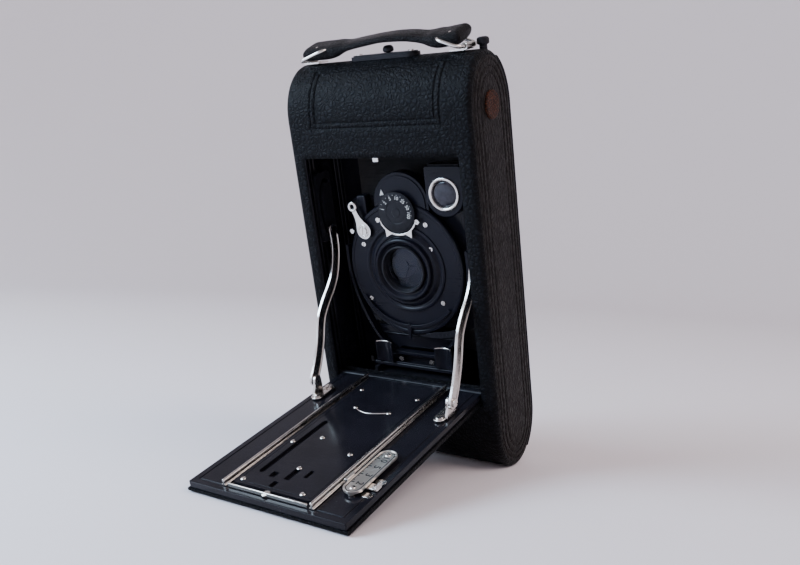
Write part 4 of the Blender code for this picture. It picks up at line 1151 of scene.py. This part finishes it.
def brackets():
    """The feet that carry the braces: a rounded foot with two screws, and an ear with the pivot."""
    for side, sign in (("left", -1), ("right", 1)):
        pivot = TO_UPRIGHT @ Vector(joint("brace_" + side + "_pivot")["pos_m"])
        face = pivot.x - sign * 1.0
        foot_x = pivot.x - sign * 4.6
        ear_low, ear_high = sorted((face, face - sign * 1.4))
        outline = ribbon([(pivot.y - 1.0, BED_TOP + 1.0), (pivot.y, pivot.z - 3.0), (pivot.y, pivot.z)],
                         [3.6, 3.0, 2.7], 10)
        outline = [(y, max(z, BED_TOP + 0.3)) for y, z in outline]
        ear = extrude(outline, "X", ear_low, ear_high)
        foot = extrude(ribbon([(foot_x, pivot.y - 5.2), (foot_x, pivot.y + 5.2)], 2.9, 14), "Z",
                       BED_TOP + 0.3, BED_TOP + 1.4)
        flange_low, flange_high = sorted((foot_x, face - sign * 0.2))
        flange = extrude(rectangle(flange_low, flange_high, pivot.y - 3.2, pivot.y + 3.2), "Z",
                         BED_TOP + 0.3, BED_TOP + 1.4)
        put("bracket_" + side, gathered(ear, foot, flange), NICKEL, "bed",
            ("brace_bracket_" + side,), 0.35, segments=3)
        heads = [moved(screw_head(1.9, 0.9), turn_about("Z", turn),
                       shift(foot_x, pivot.y + off, BED_TOP + 1.35))
                 for off, turn in ((-5.0, 35), (5.0, 110))]
        put("bracket_screws_" + side, gathered(*heads), NICKEL, "bed")
        post = extrude(circle((pivot.y, pivot.z), 1.2, 24), "X",
                       *sorted((face - sign * 1.0, pivot.x + sign * 0.8)))
        head = moved(screw_head(1.9, 0.8), turn_about("Z", 60), turn_about("Y", 90 * sign),
                     shift(pivot.x + sign * 0.75, pivot.y, pivot.z))
        put("bracket_pivot_" + side, gathered(post, head), NICKEL, "bed")


# Each brace's bends: the share of its length from its foot, and the offset across it.
BRACE_BENDS = ((0.0, 0.0), (0.09, -0.9), (0.18, -1.2), (0.27, -0.9), (0.35, 0.0), (0.43, 0.1), (0.53, -2.0),
               (0.61, -4.4), (0.69, -5.9), (0.79, -5.7), (0.9, -3.8), (1.0, 0.0))
# Half of their width.
BRACE_HALF = 3.1


def braces():
    """The flat S-shaped braces, wide at the foot, with a pressed spine and a shouldered pin at the head."""
    for side, sign in (("left", -1), ("right", 1)):
        node = "brace_" + side
        high = span(node)[1]
        pivot = TO_UPRIGHT @ Vector(joint(node + "_pivot")["pos_m"])
        foot = Vector((pivot.y, pivot.z))
        head = Vector((high.y - 2.2, high.z - 2.2))
        along = head - foot
        across = Vector((-along.y, along.x)).normalized()
        path = smooth_line([foot + along * s + across * b for s, b in BRACE_BENDS], 6)
        inner, outer = sorted((pivot.x - sign * 0.7, pivot.x + sign * 0.7))
        middle = (inner + outer) / 2
        rim = extrude(ribbon(path, BRACE_HALF, 16), "X", inner, outer,
                      [ribbon(path[2:-3], BRACE_HALF - 0.75, 14)])
        web = extrude(ribbon(path, BRACE_HALF - 0.3, 14), "X", middle - 0.3, middle + 0.3)
        pin = extrude(circle((head.x, head.y), 1.0, 20), "X",
                      *sorted((pivot.x + sign * 0.2, pivot.x + sign * 3.4)))
        boss = extrude(circle((head.x, head.y), 1.7, 24), "X",
                       *sorted((pivot.x - sign * 0.7, pivot.x + sign * 1.0)))
        washer = extrude(circle((foot.x, foot.y), 2.3, 28), "X", inner, outer)
        body = "strut_" + side
        put("strut_bar_" + side, gathered(rim, web, pin, boss, washer), NICKEL, body, (node,), 0.22,
            segments=3)


bed()
track()
rails()
distance_scale()
stop()
brackets()
braces()


# ---------------------------------------------------------------- lens standard

LENS = centre("lens_cell")
SHUTTER_LOW, SHUTTER_HIGH = span("shutter_case")
DIAL = centre("speed_dial")
SHUTTER_MIDDLE = LENS.z - 0.5
# How far back the posts of the dial and the lever reach.
POST_END = 14.4


def housing_oval(gap):
    """The shutter housing's outline with a gap round it, as a cutter."""
    squash = (34.3 + gap) / (32.3 + gap)
    return extrude(circle((0, SHUTTER_MIDDLE), SHUTTER_HIGH.x + gap, 96, squash), "Y", 5.0, 30.0)


def slotted(radius, height, turn, place, slot=0.28):
    """A screw head that faces forward at a place."""
    return moved(screw_head(radius, height, slot), turn_about("Z", turn), turn_about("X", 90),
                 shift(*place))


def shutter():
    """The round shutter housing: a rimmed face, stepped rings round the lens, and its screws."""
    board_low, _ = span("lens_board")
    base_y = board_low.y - 0.3
    half = SHUTTER_HIGH.x
    middle_z = SHUTTER_MIDDLE
    tall = middle_z - SHUTTER_LOW.z
    # The depth that the rim and the rings are drawn from.
    face = 12.5
    rim = [(0.93, base_y), (0.93, face + 1.6), (1.0, face + 1.6), (1.0, face + 0.7), (0.985, face + 0.15),
           (0.965, face), (0.945, face + 0.05), (0.935, face + 0.3), (0.72, face + 0.35)]
    rows = []
    count = 96
    for scale, y in rim:
        rows.append([(half * scale * math.cos(2 * math.pi * k / count), y,
                      middle_z + tall * scale * math.sin(2 * math.pi * k / count)) for k in range(count)])
    rings = [(22.6, face + 0.3), (22.4, face - 0.3), (21.9, face - 0.5), (21.2, face - 0.5),
             (20.7, face - 0.3), (20.3, face + 0.1), (19.7, face + 0.25), (18.9, face - 0.35),
             (18.3, face - 0.9), (17.6, face - 1.1), (17.0, face - 1.05), (16.6, face - 0.7),
             (16.3, face - 0.9), (16.1, face - 1.9), (15.8, face - 2.6), (15.2, face - 2.9),
             (14.5, face - 2.8), (14.0, face - 2.2), (13.4, face - 1.4), (12.8, face - 1.2),
             (12.45, face - 1.1), (12.45, base_y)]
    for radius, y in rings:
        rows.append([(radius * math.cos(2 * math.pi * k / count), y,
                      LENS.z + radius * math.sin(2 * math.pi * k / count)) for k in range(count)])
    mesh = closed_up(surface(rows, closed=True), bridge=True)
    socket = extrude(rectangle(-25.0, -20.0, 120.0, 138.4, 0.8), "Y", POST_END, base_y)
    put("shutter_housing", mesh, SHUTTER_ENAMEL, "standard", ("shutter_case",), sharp=30)
    put("cable_socket", socket, SHUTTER_ENAMEL, "standard", (), 0.4, segments=3)
    # Each screw's (x, z) and the turn of its slot.
    screws = (((-29.0, 120.5), 20), ((-22.8, 114.0), 70), ((14.4, 125.2), 110), ((15.7, 113.0), 40),
              ((-22.5, 85.3), 15), ((19.6, 86.0), 60))
    heads = [slotted(1.15, 0.55, turn, (x, face + 0.32, z)) for (x, z), turn in screws]
    put("shutter_screws", gathered(*heads), NICKEL, "standard")


def lens():
    """The lens barrel with its ridged front ring, the glasses, and the shutter's blades behind them."""
    low, high = span("lens_cell")
    front = low.y
    wall = [(12.15, front + 0.4), (11.8, front + 0.05), (11.4, front), (11.1, front + 0.3),
            (10.8, front + 0.9), (10.75, front + 1.2), (10.6, front + 1.5), (10.5, front + 1.6),
            (10.45, front + 2.2), (10.35, front + 2.4), (10.3, high.y), (12.15, high.y)]
    put("lens_barrel", turned(wall, "Y", (LENS.x, 0, LENS.z), 72, True), BLACK_METAL, "standard",
        ("lens_cell",))
    glass_low, glass_high = span("lens_front")
    rim = 10.1
    dome = [(rim * math.sin(math.radians(a)), glass_low.y + 0.3 + 2.1 * (1 - math.cos(math.radians(a))))
            for a in range(0, 91, 9)]
    rear = glass_high.y
    put("front_glass", turned(dome + [(rim, rear), (6, rear - 0.5), (0, rear - 0.8)], "Y",
                              (LENS.x, 0, LENS.z), 64),
        LENS_GLASS, "standard", ("lens_front",), sharp=60)
    rear_low, rear_high = span("lens_rear")
    back = [(0, rear_low.y), (8.95, rear_low.y), (8.95, rear_low.y + 1.6), (6.5, rear_high.y - 0.6),
            (3.5, rear_high.y - 0.1), (0, rear_high.y)]
    put("rear_glass", turned(back, "Y", (LENS.x, 0, LENS.z), 64), LENS_GLASS, "standard", ("lens_rear",),
        sharp=60)
    stop = [(10.25, 16.0), (9.9, 16.1), (9.8, 16.4), (10.25, 16.6)]
    put("iris_ring", turned(stop, "Y", (LENS.x, 0, LENS.z), 64, True), BLACK_METAL, "standard")
    # Painted shade: a black crescent sheet behind the front glass darkens one side of the lens, standing in
    # for shadow and dark reflection.
    shade = arc((LENS.x, LENS.z), 10.2, -125, 30, 40) + arc((LENS.x - 3.4, LENS.z + 3.2), 9.0, 14, -110, 30)
    put("painted_shade_crescent", extrude(shade, "Y", 15.4, 15.7), BLACK_METAL, "standard", (), 0.05)
    blades = []
    for turn in (0, 120, 240):
        tip = arc((0, 0), 0.4, turn + 61, turn + 61, 1)[:1]
        outline = arc((0, 0), 10.1, turn - 2, turn + 124, 20) + tip
        blade = extrude(outline, "Y", 17.2 + turn / 600, 17.32 + turn / 600)
        blades.append(moved(blade, shift(LENS.x, 0, LENS.z)))
    put("shutter_blades", gathered(*blades), BLADE_STEEL, "standard")


def dial():
    """The speed dial: a knurled disc with a chamfer, numbers round its upper half and a small centre boss."""
    low, high = span("speed_dial")
    radius = (high.x - low.x) / 2
    front = low.y
    teeth = 72
    outline = []
    for i in range(teeth * 2):
        angle = 2 * math.pi * i / (teeth * 2)
        r = radius - (0.0 if i % 2 else 0.25)
        outline.append((DIAL.x + r * math.cos(angle), DIAL.z + r * math.sin(angle)))
    rim = extrude(outline, "Y", front + 0.45, front + 1.1)
    profile = [(0, front - 0.02), (2.2, front - 0.02), (2.4, front + 0.16), (5.4, front + 0.2),
               (5.6, front + 0.05), (8.9, front + 0.05), (9.6, front + 0.3), (9.75, front + 0.6),
               (0, front + 0.6)]
    disc = turned(profile, "Y", (DIAL.x, 0, DIAL.z), 64)
    put("dial_disc", gathered(rim, disc), BLACK_METAL, "dial", ("speed_dial",), sharp=25)
    marks = []
    for i, number in enumerate(("1", "2", "5", "10", "25", "50", "100")):
        angle = between(168, -8, i / 6)
        place = (turn_about("X", 90), shift(0, 0, 7.2), turn_about("Y", 90 - angle),
                 shift(DIAL.x, front + 0.03, DIAL.z))
        marks.append(moved(lettering(number, 1.7), *place))
    for i in range(13):
        angle = math.radians(between(168, -8, i / 12))
        a, b = (Vector((DIAL.x + r * math.cos(angle), front + 0.02, DIAL.z + r * math.sin(angle)))
                for r in (8.4, 8.9))
        marks.append(tube([a, b], 0.09))
    put("dial_marks", gathered(*marks), PAINT, "dial", sharp=20)
    post = turned([(0, front + 1.0), (1.05, front + 1.0), (1.05, POST_END), (0, POST_END)], "Y",
                  (DIAL.x, 0, DIAL.z), 24)
    put("dial_post", post, BLACK_METAL, "dial")


def dial_surroundings():
    """The gear housing behind the dial, its white index, the nickel yoke and the screws at its sides."""
    low, high = span("dial_housing")
    middle = ((low.x + high.x) / 2, high.z - (high.x - low.x) / 2)
    radius = (high.x - low.x) / 2
    foot = DIAL.z - 5.5
    outline = [(high.x, foot), *arc(middle, radius, 0, 180, 40), (low.x, foot)]
    block = extrude(outline, "Y", low.y, high.y)
    inner = [(high.x - 1.6, foot), *arc(middle, radius - 1.6, 0, 180, 40), (low.x + 1.6, foot)]
    step = extrude(inner, "Y", low.y - 0.5, low.y + 0.2)
    oval = housing_oval(0.3)
    put("gear_housing", cut(block, oval), SHUTTER_ENAMEL, "standard", ("dial_housing",), 0.45, segments=3)
    put("gear_cover", cut(step, oval), SHUTTER_ENAMEL, "standard", (), 0.2)
    low, high = span("dial_yoke")
    front = low.y
    inside = 10.7
    outer = []
    for angle in range(-158, -21, 2):
        foot = max(0.0, 1 - abs(abs(angle + 90) - 30) / 10.5)
        taper = min(1.0, (68 - abs(angle + 90)) / 14)
        reach = inside + 0.25 + 0.65 * taper + 3.0 * foot ** 1.3
        turn = math.radians(angle)
        outer.append((DIAL.x + reach * math.cos(turn), DIAL.z + reach * math.sin(turn)))
    inner = arc((DIAL.x, DIAL.z), inside, -22, -158, 40)
    yoke = extrude(outer + inner, "Y", front, high.y)
    put("dial_crescent", yoke, NICKEL, "standard", ("dial_yoke",), 0.18)
    heads = []
    radius = 1.2
    for x, z, turn in ((-11.2, 127.4, 30), (11.0, 127.0, -10)):
        heads.append(slotted(radius, 0.8, turn, (x, front + 0.6, z)))
        stem = turned([(0, 0), (0.9, 0), (0.9, 3.2), (0, 3.2)], "Y", (0, 0, 0), 16)
        heads.append(moved(stem, shift(x, front + 0.5, z)))
    put("yoke_screws", gathered(*heads), NICKEL, "standard")
    index = extrude([(-9.9, 139.0), (-7.6, 139.4), (-8.8, 142.2)], "Y", 12.9, 13.3)
    put("dial_index", index, PAINT, "standard", (), 0.08)


def lever():
    """The teardrop release lever, with a dished eye, a raised edge and its slotted pivot."""
    pivot = TO_UPRIGHT @ Vector(joint("release_lever_press")["pos_m"])
    low, high = span("release_lever")
    front = low.y + 0.6
    tip = Vector((low.x + 2.5, high.z - 2.5))
    root = Vector((pivot.x, pivot.z))
    along = (tip - root).normalized()
    across = Vector((-along.y, along.x))
    widths = ((-4.3, 0.3), (-4.0, 1.4), (-3.3, 2.5), (-2.2, 3.4), (-0.8, 3.95), (0.8, 3.9), (2.4, 3.4),
              (4.2, 2.5), (6.2, 1.8), (8.6, 1.35), (11.2, 1.3))
    smooth = smooth_line(widths, 4)
    left = [root + along * p.x + across * p.y for p in smooth]
    right = [root + along * p.x - across * p.y for p in smooth][::-1]
    outline = [(p.x, p.y) for p in left + right]
    arm = extrude(outline, "Y", front, front + 1.1)
    eye = turned([(2.6, front + 0.1), (2.6, front + 1.0), (2.2, front + 1.2), (1.5, front + 1.2),
                  (1.15, front + 0.9), (1.15, front + 0.1), (1.5, front - 0.25), (2.2, front - 0.25)], "Y",
                 (tip.x, 0, tip.y), 36, True)
    hole = extrude(circle(tip, 1.15, 28), "Y", front - 3, front + 4)
    arm = cut(arm, hole)
    boss = turned([(3.1, front + 0.1), (3.1, front - 0.15), (2.8, front - 0.3), (2.45, front - 0.3),
                   (2.3, front - 0.1), (2.3, front + 0.1)], "Y", (root.x, 0, root.y), 40, True)
    put("lever_arm", gathered(arm, eye, boss), NICKEL, "lever", ("release_lever",), 0.25, segments=3)
    head = slotted(2.0, 0.7, 82, (root.x, front + 0.02, root.y), slot=0.4)
    stem = turned([(0, front), (1.0, front), (1.0, POST_END), (0, POST_END)], "Y", (root.x, 0, root.y), 20)
    put("lever_pivot", gathered(head, stem), NICKEL, "lever", (), sharp=25)


def aperture():
    """The curved aperture scale with its marks, and the pointer on its thin band."""
    low, high = span("aperture_scale")
    middle = (11.0, LENS.z + 6.0)
    outline = arc(middle, 41.5, -108, -70, 30) + arc(middle, 38.4, -70, -108, 30)
    oval = housing_oval(0.4)
    leg = extrude(rectangle(8.0, 14.0, low.z, 69.0), "Y", low.y + 0.3, high.y)
    strip = cut(extrude(outline, "Y", low.y, low.y + 0.7), oval)
    put("aperture_strip", strip, BLACK_METAL, "standard", ("aperture_scale",), 0.12)
    put("aperture_leg", leg, BLACK_METAL, "standard", (), 0.2)
    marks = []
    for i in range(9):
        angle = math.radians(between(-101, -74, i / 8))
        a, b = (Vector((middle[0] + r * math.cos(angle), low.y - 0.01, middle[1] + r * math.sin(angle)))
                for r in (39.4, 40.6))
        marks.append(tube([a, b], 0.12))
    put("aperture_marks", gathered(*marks), BLADE_STEEL, "standard", sharp=20)
    low, high = span("aperture_pointer")
    reach = [Vector((0, LENS.z)) + Matrix.Rotation(math.radians(-92), 2) @ Vector((r, 0))
             for r in (30.2, 33.0, 36.6)]
    arm = extrude(ribbon(reach, [1.3, 1.0, 0.6], 10), "Y", low.y - 0.1, high.y)
    band = arc((0, LENS.z), 31.0, -150, -40, 60) + arc((0, LENS.z), 29.4, -40, -150, 60)
    put("aperture_band", extrude(band, "Y", low.y, high.y), SHUTTER_ENAMEL, "aperture",
        ("aperture_pointer",), 0.15)
    put("aperture_arm", arm, SHUTTER_ENAMEL, "aperture", (), 0.2)


def finder():
    """The reflecting finder: a rounded box, a nickel ring round a domed lens, and a ground screen on top."""
    low, high = span("finder_body")
    x, half = (low.x + high.x) / 2, (high.x - low.x) / 2
    bore = span("finder_lens")
    middle_z = (bore[0].z + bore[1].z) / 2
    corner = 1.6
    outside = [(low.x, high.z - corner), *arc((x, low.z + half), half, 180, 360, 40),
               (high.x, high.z - corner)]
    outside += arc((high.x - corner, high.z - corner), corner, 0, 90, 6)[1:]
    outside += arc((low.x + corner, high.z - corner), corner, 90, 180, 6)[:-1]
    box = extrude(outside, "Y", low.y, high.y)
    well = turned([(0, low.y - 2), (6.5, low.y - 2), (6.5, low.y + 2), (0, low.y + 2)], "Y",
                  (x, 0, middle_z), 56)
    top = extrude(rectangle(x - 6.6, x + 6.6, low.y + 2.0, high.y - 1.4, 0.5), "Z", high.z - 1.4,
                  high.z + 1)
    put("finder_case", cut(box, well, top), SHUTTER_ENAMEL, "standard", ("finder_body",), 0.55, segments=3)
    ring = [(8.05, low.y + 0.05), (8.0, low.y - 0.5), (7.6, low.y - 0.85), (7.0, low.y - 0.85),
            (6.5, low.y - 0.5), (6.15, low.y + 0.3), (6.15, low.y + 0.8), (6.45, low.y + 0.8)]
    put("finder_rim", turned(ring, "Y", (x, 0, middle_z), 72, True), NICKEL, "standard", sharp=50)
    dome = [(6.1 * math.sin(math.radians(a)), low.y - 0.35 + 1.2 * (1 - math.cos(math.radians(a))))
            for a in range(0, 91, 10)]
    put("finder_glass", turned(dome + [(6.1, low.y + 1.8), (0, low.y + 1.8)], "Y", (x, 0, middle_z), 56),
        FINDER_GLASS, "standard", ("finder_lens",), sharp=60)
    inside = [(0, low.y + 1.85), (6.3, low.y + 1.85), (6.3, low.y + 2.0), (0, low.y + 2.0)]
    put("finder_back", turned(inside, "Y", (x, 0, middle_z), 48), BLACK_METAL, "standard")
    screen = span("finder_screen")
    pane = extrude(rectangle(screen[0].x, screen[1].x, screen[0].y, screen[1].y, 0.5), "Z", screen[0].z,
                   screen[1].z)
    put("finder_pane", pane, GROUND_GLASS, "standard", ("finder_screen",), 0.15)
    frame_outline = rectangle(x - 8.4, x + 8.4, low.y + 1.1, high.y - 0.6, 0.8)
    hole = rectangle(x - 6.2, x + 6.2, low.y + 2.4, high.y - 1.8, 0.4)
    put("finder_frame", extrude(frame_outline, "Z", high.z - 0.05, high.z + 0.5, [hole]), BLACK_METAL,
        "standard", (), 0.15)


def uprights():
    """The frame on both sides of the shutter, the lens board with its bead, and the carriage."""
    low, high = span("standard_frame")
    half = [(-34.2, 112.0), (-34.3, 102.0), (-32.6, 90.0), (-28.6, 77.5), (-21.8, 64.5), (-13.0, 56.0)]
    path = smooth_line(half, 10)
    path += [Vector((-p.x, p.y)) for p in reversed(path)]
    put("upright_frame", extrude(ribbon(path, 0.75, 8), "Y", low.y, high.y), SHUTTER_ENAMEL, "standard",
        ("standard_frame",), 0.3, segments=3)
    feet = [slotted(1.3, 0.6, 40, (x, low.y, 53.0)) for x in (-9, 9)]
    low, high = span("lens_board")
    outside = rectangle(low.x, high.x, low.z, high.z, 6.0, 12)
    hole = circle((0, LENS.z), 13.0, 48)
    bead = extrude(rectangle(low.x + 1.5, high.x - 1.5, low.z + 1.5, high.z - 1.5, 5.0, 12), "Y",
                   low.y - 0.25, low.y + 0.2,
                   [rectangle(low.x + 3, high.x - 3, low.z + 3, high.z - 3, 4.0, 12)])
    put("board_plate", gathered(extrude(outside, "Y", low.y, high.y, [hole]), bead), ENAMEL, "standard",
        ("lens_board",), 0.3)
    low, high = span("standard_base")
    plate = extrude(rectangle(low.x, high.x, low.y, high.y, 1.5), "Z", low.z, 50.5)
    post = extrude(rectangle(-24, 24, 49.7, 69.0), "Y", 17.6, 19.4)
    web = extrude(ribbon([(-10, 56.0), (10, 56.0)], 1.8, 14), "Y", 15.0, 22.0)
    lip = extrude(rectangle(-23.6, 23.6, 52.2, 53.4, 0.5), "Y", 16.8, 18.0)
    lip_top = extrude(rectangle(-23.6, 23.6, 64.4, 65.2, 0.4), "Y", 16.9, 18.0)
    put("carriage", gathered(plate, cut(post, web), lip, lip_top), ENAMEL, "standard", ("standard_base",),
        0.3)
    edge = extrude(rectangle(-12.4, 12.4, 50.4, 51.3, 0.3), "Y", 11.9, 12.8)
    put("carriage_strip", edge, ENAMEL, "standard", (), 0.15)
    heads = [moved(screw_head(1.3, 0.6), turn_about("Z", turn), shift(x, 24.5, 50.4))
             for x, turn in ((-22, 20), (22, 75), (0, 50))]
    heads += feet
    put("carriage_screws", gathered(*heads), NICKEL, "standard")


def grips():
    """The two finger grips: curved black plates with bright rolled edges."""
    for side, sign in (("left", -1), ("right", 1)):
        node = "grip_" + side
        low, high = span(node)
        x = (low.x + high.x) / 2
        bend = smooth_line([(sign * 22.0, 10.6), (sign * 20.0, 11.7), (x, 12.2), (sign * 15.0, 11.7),
                            (sign * 13.0, 10.6)], 6)
        body = "pinch_" + side
        plate = extrude(ribbon(bend, 0.55, 6), "Z", low.z + 0.4, high.z - 0.5)
        foot = extrude(rectangle(x - 2.5, x + 2.5, 11.8, 16.4, 0.5), "Z", low.z, low.z + 1.2)
        put("grip_plate_" + side, gathered(plate, foot), ENAMEL, body, (node,), 0.2)
        rolled = [tube([(p.x, p.y, high.z - 0.4) for p in bend], 0.34, sides=4)]
        rolled += [tube([(*bend[k], high.z - 6.0), (*bend[k], high.z - 0.4)], 0.32, sides=4)
                   for k in (0, -1)]
        put("grip_edge_" + side, gathered(*rolled), NICKEL, body, sharp=60)


FOLDS = 14
FOLD_DEPTH = 3.4
# The outermost folds at the two ends: half width, lowest and highest.
FRONT_FOLD = (27.0, 74.0, 131.0)
REAR_FOLD = (35.5, 52.5, 157.5)


def bellows():
    """The folded bellows in its rest pose."""
    low, high = span("bellows")
    steps = FOLDS * 2
    rows = []

    def ring(share, y, inset):
        half = between(FRONT_FOLD[0], REAR_FOLD[0], share) - inset
        z_low = between(FRONT_FOLD[1], REAR_FOLD[1], share) + inset
        z_high = between(FRONT_FOLD[2], REAR_FOLD[2], share) - inset
        cut_corner = 2.6 + inset * 0.6
        points = []
        corners = ((half, z_high, 1, 1), (-half, z_high, -1, 1), (-half, z_low, -1, -1),
                   (half, z_low, 1, -1))
        for u, v, su, sv in corners:
            a, b = (u, v - sv * cut_corner), (u - su * cut_corner, v)
            points += [a, b] if su * sv > 0 else [b, a]
        dense = []
        for (u0, v0), (u1, v1) in zip(points, points[1:] + points[:1]):
            count = 6 if math.hypot(u1 - u0, v1 - v0) > 12 else 1
            dense += [(between(u0, u1, k / count), y, between(v0, v1, k / count)) for k in range(count)]
        return dense

    for i in range(steps + 1):
        share = i / steps
        rows.append(ring(share, between(low.y, high.y, share), 0.0 if i % 2 == 0 else FOLD_DEPTH))
    for i in range(steps, -1, -1):
        share = i / steps
        y = between(low.y, high.y, share)
        rows.append(ring(share, y, 0.5 if i % 2 == 0 else FOLD_DEPTH + 0.5))
    rows.append(rows[0])
    mesh = tidied(surface(rows, closed=True), False)
    obj = put("bellows_folds", mesh, BELLOWS_CLOTH, "standard", ("bellows",), sharp=12)
    world = obj.matrix_world.copy()
    obj.parent = None
    obj.matrix_world = world
    del obj["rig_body"]
    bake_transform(obj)


def paint():
    made = Finish("index_paint", (0.62, 0.62, 0.60), 0.5)
    made.colour(made.mix(made.fit(made.noise(0.6, 4), 0.4, 0.7), (0.66, 0.66, 0.63), (0.30, 0.30, 0.29)))
    made.slot = "nickel_scale"
    return made


def blade_steel():
    made = Finish("blade_steel", (0.012, 0.013, 0.02), 0.45)
    made.set(Specular_IOR_Level=0.2)
    made.colour(made.mix(made.fit(made.noise(3, 4), 0.35, 0.7), (0.010, 0.011, 0.017),
                         (0.017, 0.018, 0.027)))
    made.roughness(made.fit(made.noise(6, 3), 0.3, 0.7, 0.4, 0.5))
    made.slot = "black_metal"
    return made


def finder_glass():
    made = Finish("finder_glass", (0.045, 0.045, 0.06), 0.06)
    made.set(Specular_IOR_Level=0.25, Coat_Weight=0.15, Coat_Roughness=0.03)
    made.colour(made.mix(made.fit(made.noise(3, 3), 0.3, 0.7), (0.007, 0.007, 0.012), (0.022, 0.021, 0.03)))
    made.slot = "lens_glass"
    return made


def ground_glass():
    made = Finish("ground_glass", (0.30, 0.32, 0.36), 0.45)
    made.bump(made.noise(0.15, 2), 0.01, 0.5)
    made.slot = "lens_glass"
    return made


PAINT = paint()
BLADE_STEEL = blade_steel()
FINDER_GLASS = finder_glass()
GROUND_GLASS = ground_glass()

shutter()
lens()
dial()
dial_surroundings()
lever()
aperture()
finder()
uprights()
grips()
bellows()


# ---------------------------------------------------------------- floor, light and camera

def backdrop():
    """A pale seamless floor that curves up into a wall all round."""
    flat, reach, rise = 1.1, 1.9, 1.5
    profile = [(0.0, 0.0), (0.3, 0.0), (0.6, 0.0), (flat, 0.0)]
    profile += [(flat + (reach - flat) * math.sin(math.radians(a)), 0.8 * (1 - math.cos(math.radians(a))))
                for a in range(6, 91, 6)]
    profile += [(reach, rise)]
    rows = [[(r * math.cos(2 * math.pi * k / 96), r * math.sin(2 * math.pi * k / 96), z) for k in range(96)]
            for r, z in profile[1:]]

    def floor_rim(edge):
        return all(abs(v.co.z) < 1e-6 for v in edge.verts)

    mesh = closed_up(surface(rows, closed=True), floor_rim)
    mesh.shade_smooth()
    made = bpy.data.materials.new("paper")
    made.use_nodes = True
    shader = made.node_tree.nodes["Principled BSDF"]
    shader.inputs["Base Color"].default_value = (0.83, 0.785, 0.80, 1)
    shader.inputs["Roughness"].default_value = 0.85
    shader.inputs["Specular IOR Level"].default_value = 0.15
    mesh.materials.append(made)
    linked("paper_floor", mesh)


def area_light(name, place, aim, size, power, colour):
    data = bpy.data.lights.new(name, "AREA")
    data.shape = "RECTANGLE"
    data.size, data.size_y = size
    data.energy = power
    data.color = colour
    obj = linked(name, data)
    obj.location = place
    obj.rotation_euler = (Vector(aim) - Vector(place)).to_track_quat("-Z", "Y").to_euler()


def lights():
    world = bpy.data.worlds.new("room")
    bpy.context.scene.world = world
    world.use_nodes = True
    background = world.node_tree.nodes["Background"]
    background.inputs["Color"].default_value = (0.92, 0.86, 0.92, 1)
    background.inputs["Strength"].default_value = 0.58
    area_light("window", (-0.9, -0.75, 0.7), (-0.25, -0.1, 0.0), (0.9, 0.7), 26, (0.68, 0.83, 1.0))
    area_light("sill", (-0.30, -0.40, 0.30), (-0.07, -0.15, 0.0), (0.25, 0.25), 2.2, (0.45, 0.70, 1.0))
    area_light("lamp", (1.0, 0.1, 1.2), (0.1, 0.1, 0.1), (0.9, 0.9), 11, (1.0, 0.84, 0.80))


def camera():
    """The photo's view. Place, direction and lens come from a fit to the edges of the body and bed."""
    data = bpy.data.cameras.new("view")
    data.sensor_width = 36
    data.lens = 36.91
    data.clip_start = 0.01
    obj = linked("view", data)
    forward = Vector((-0.531769, 0.789097, -0.307485)).normalized()
    up = Vector((-0.068705, 0.321682, 0.944352))
    right = forward.cross(up).normalized()
    turn = Matrix((right, right.cross(forward), -forward)).transposed()
    body_turn = UPRIGHT.to_3x3() * (1 / MM)
    place = UPRIGHT @ Vector((212.8946, -309.4092, 220.3947))
    obj.matrix_world = Matrix.Translation(place) @ (body_turn @ turn).to_4x4()
    bpy.context.scene.camera = obj


backdrop()
lights()
camera()

for node, obj in frame["nodes"].items():
    if not obj.hide_render and "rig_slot" not in obj:
        print("no finish yet:", node)
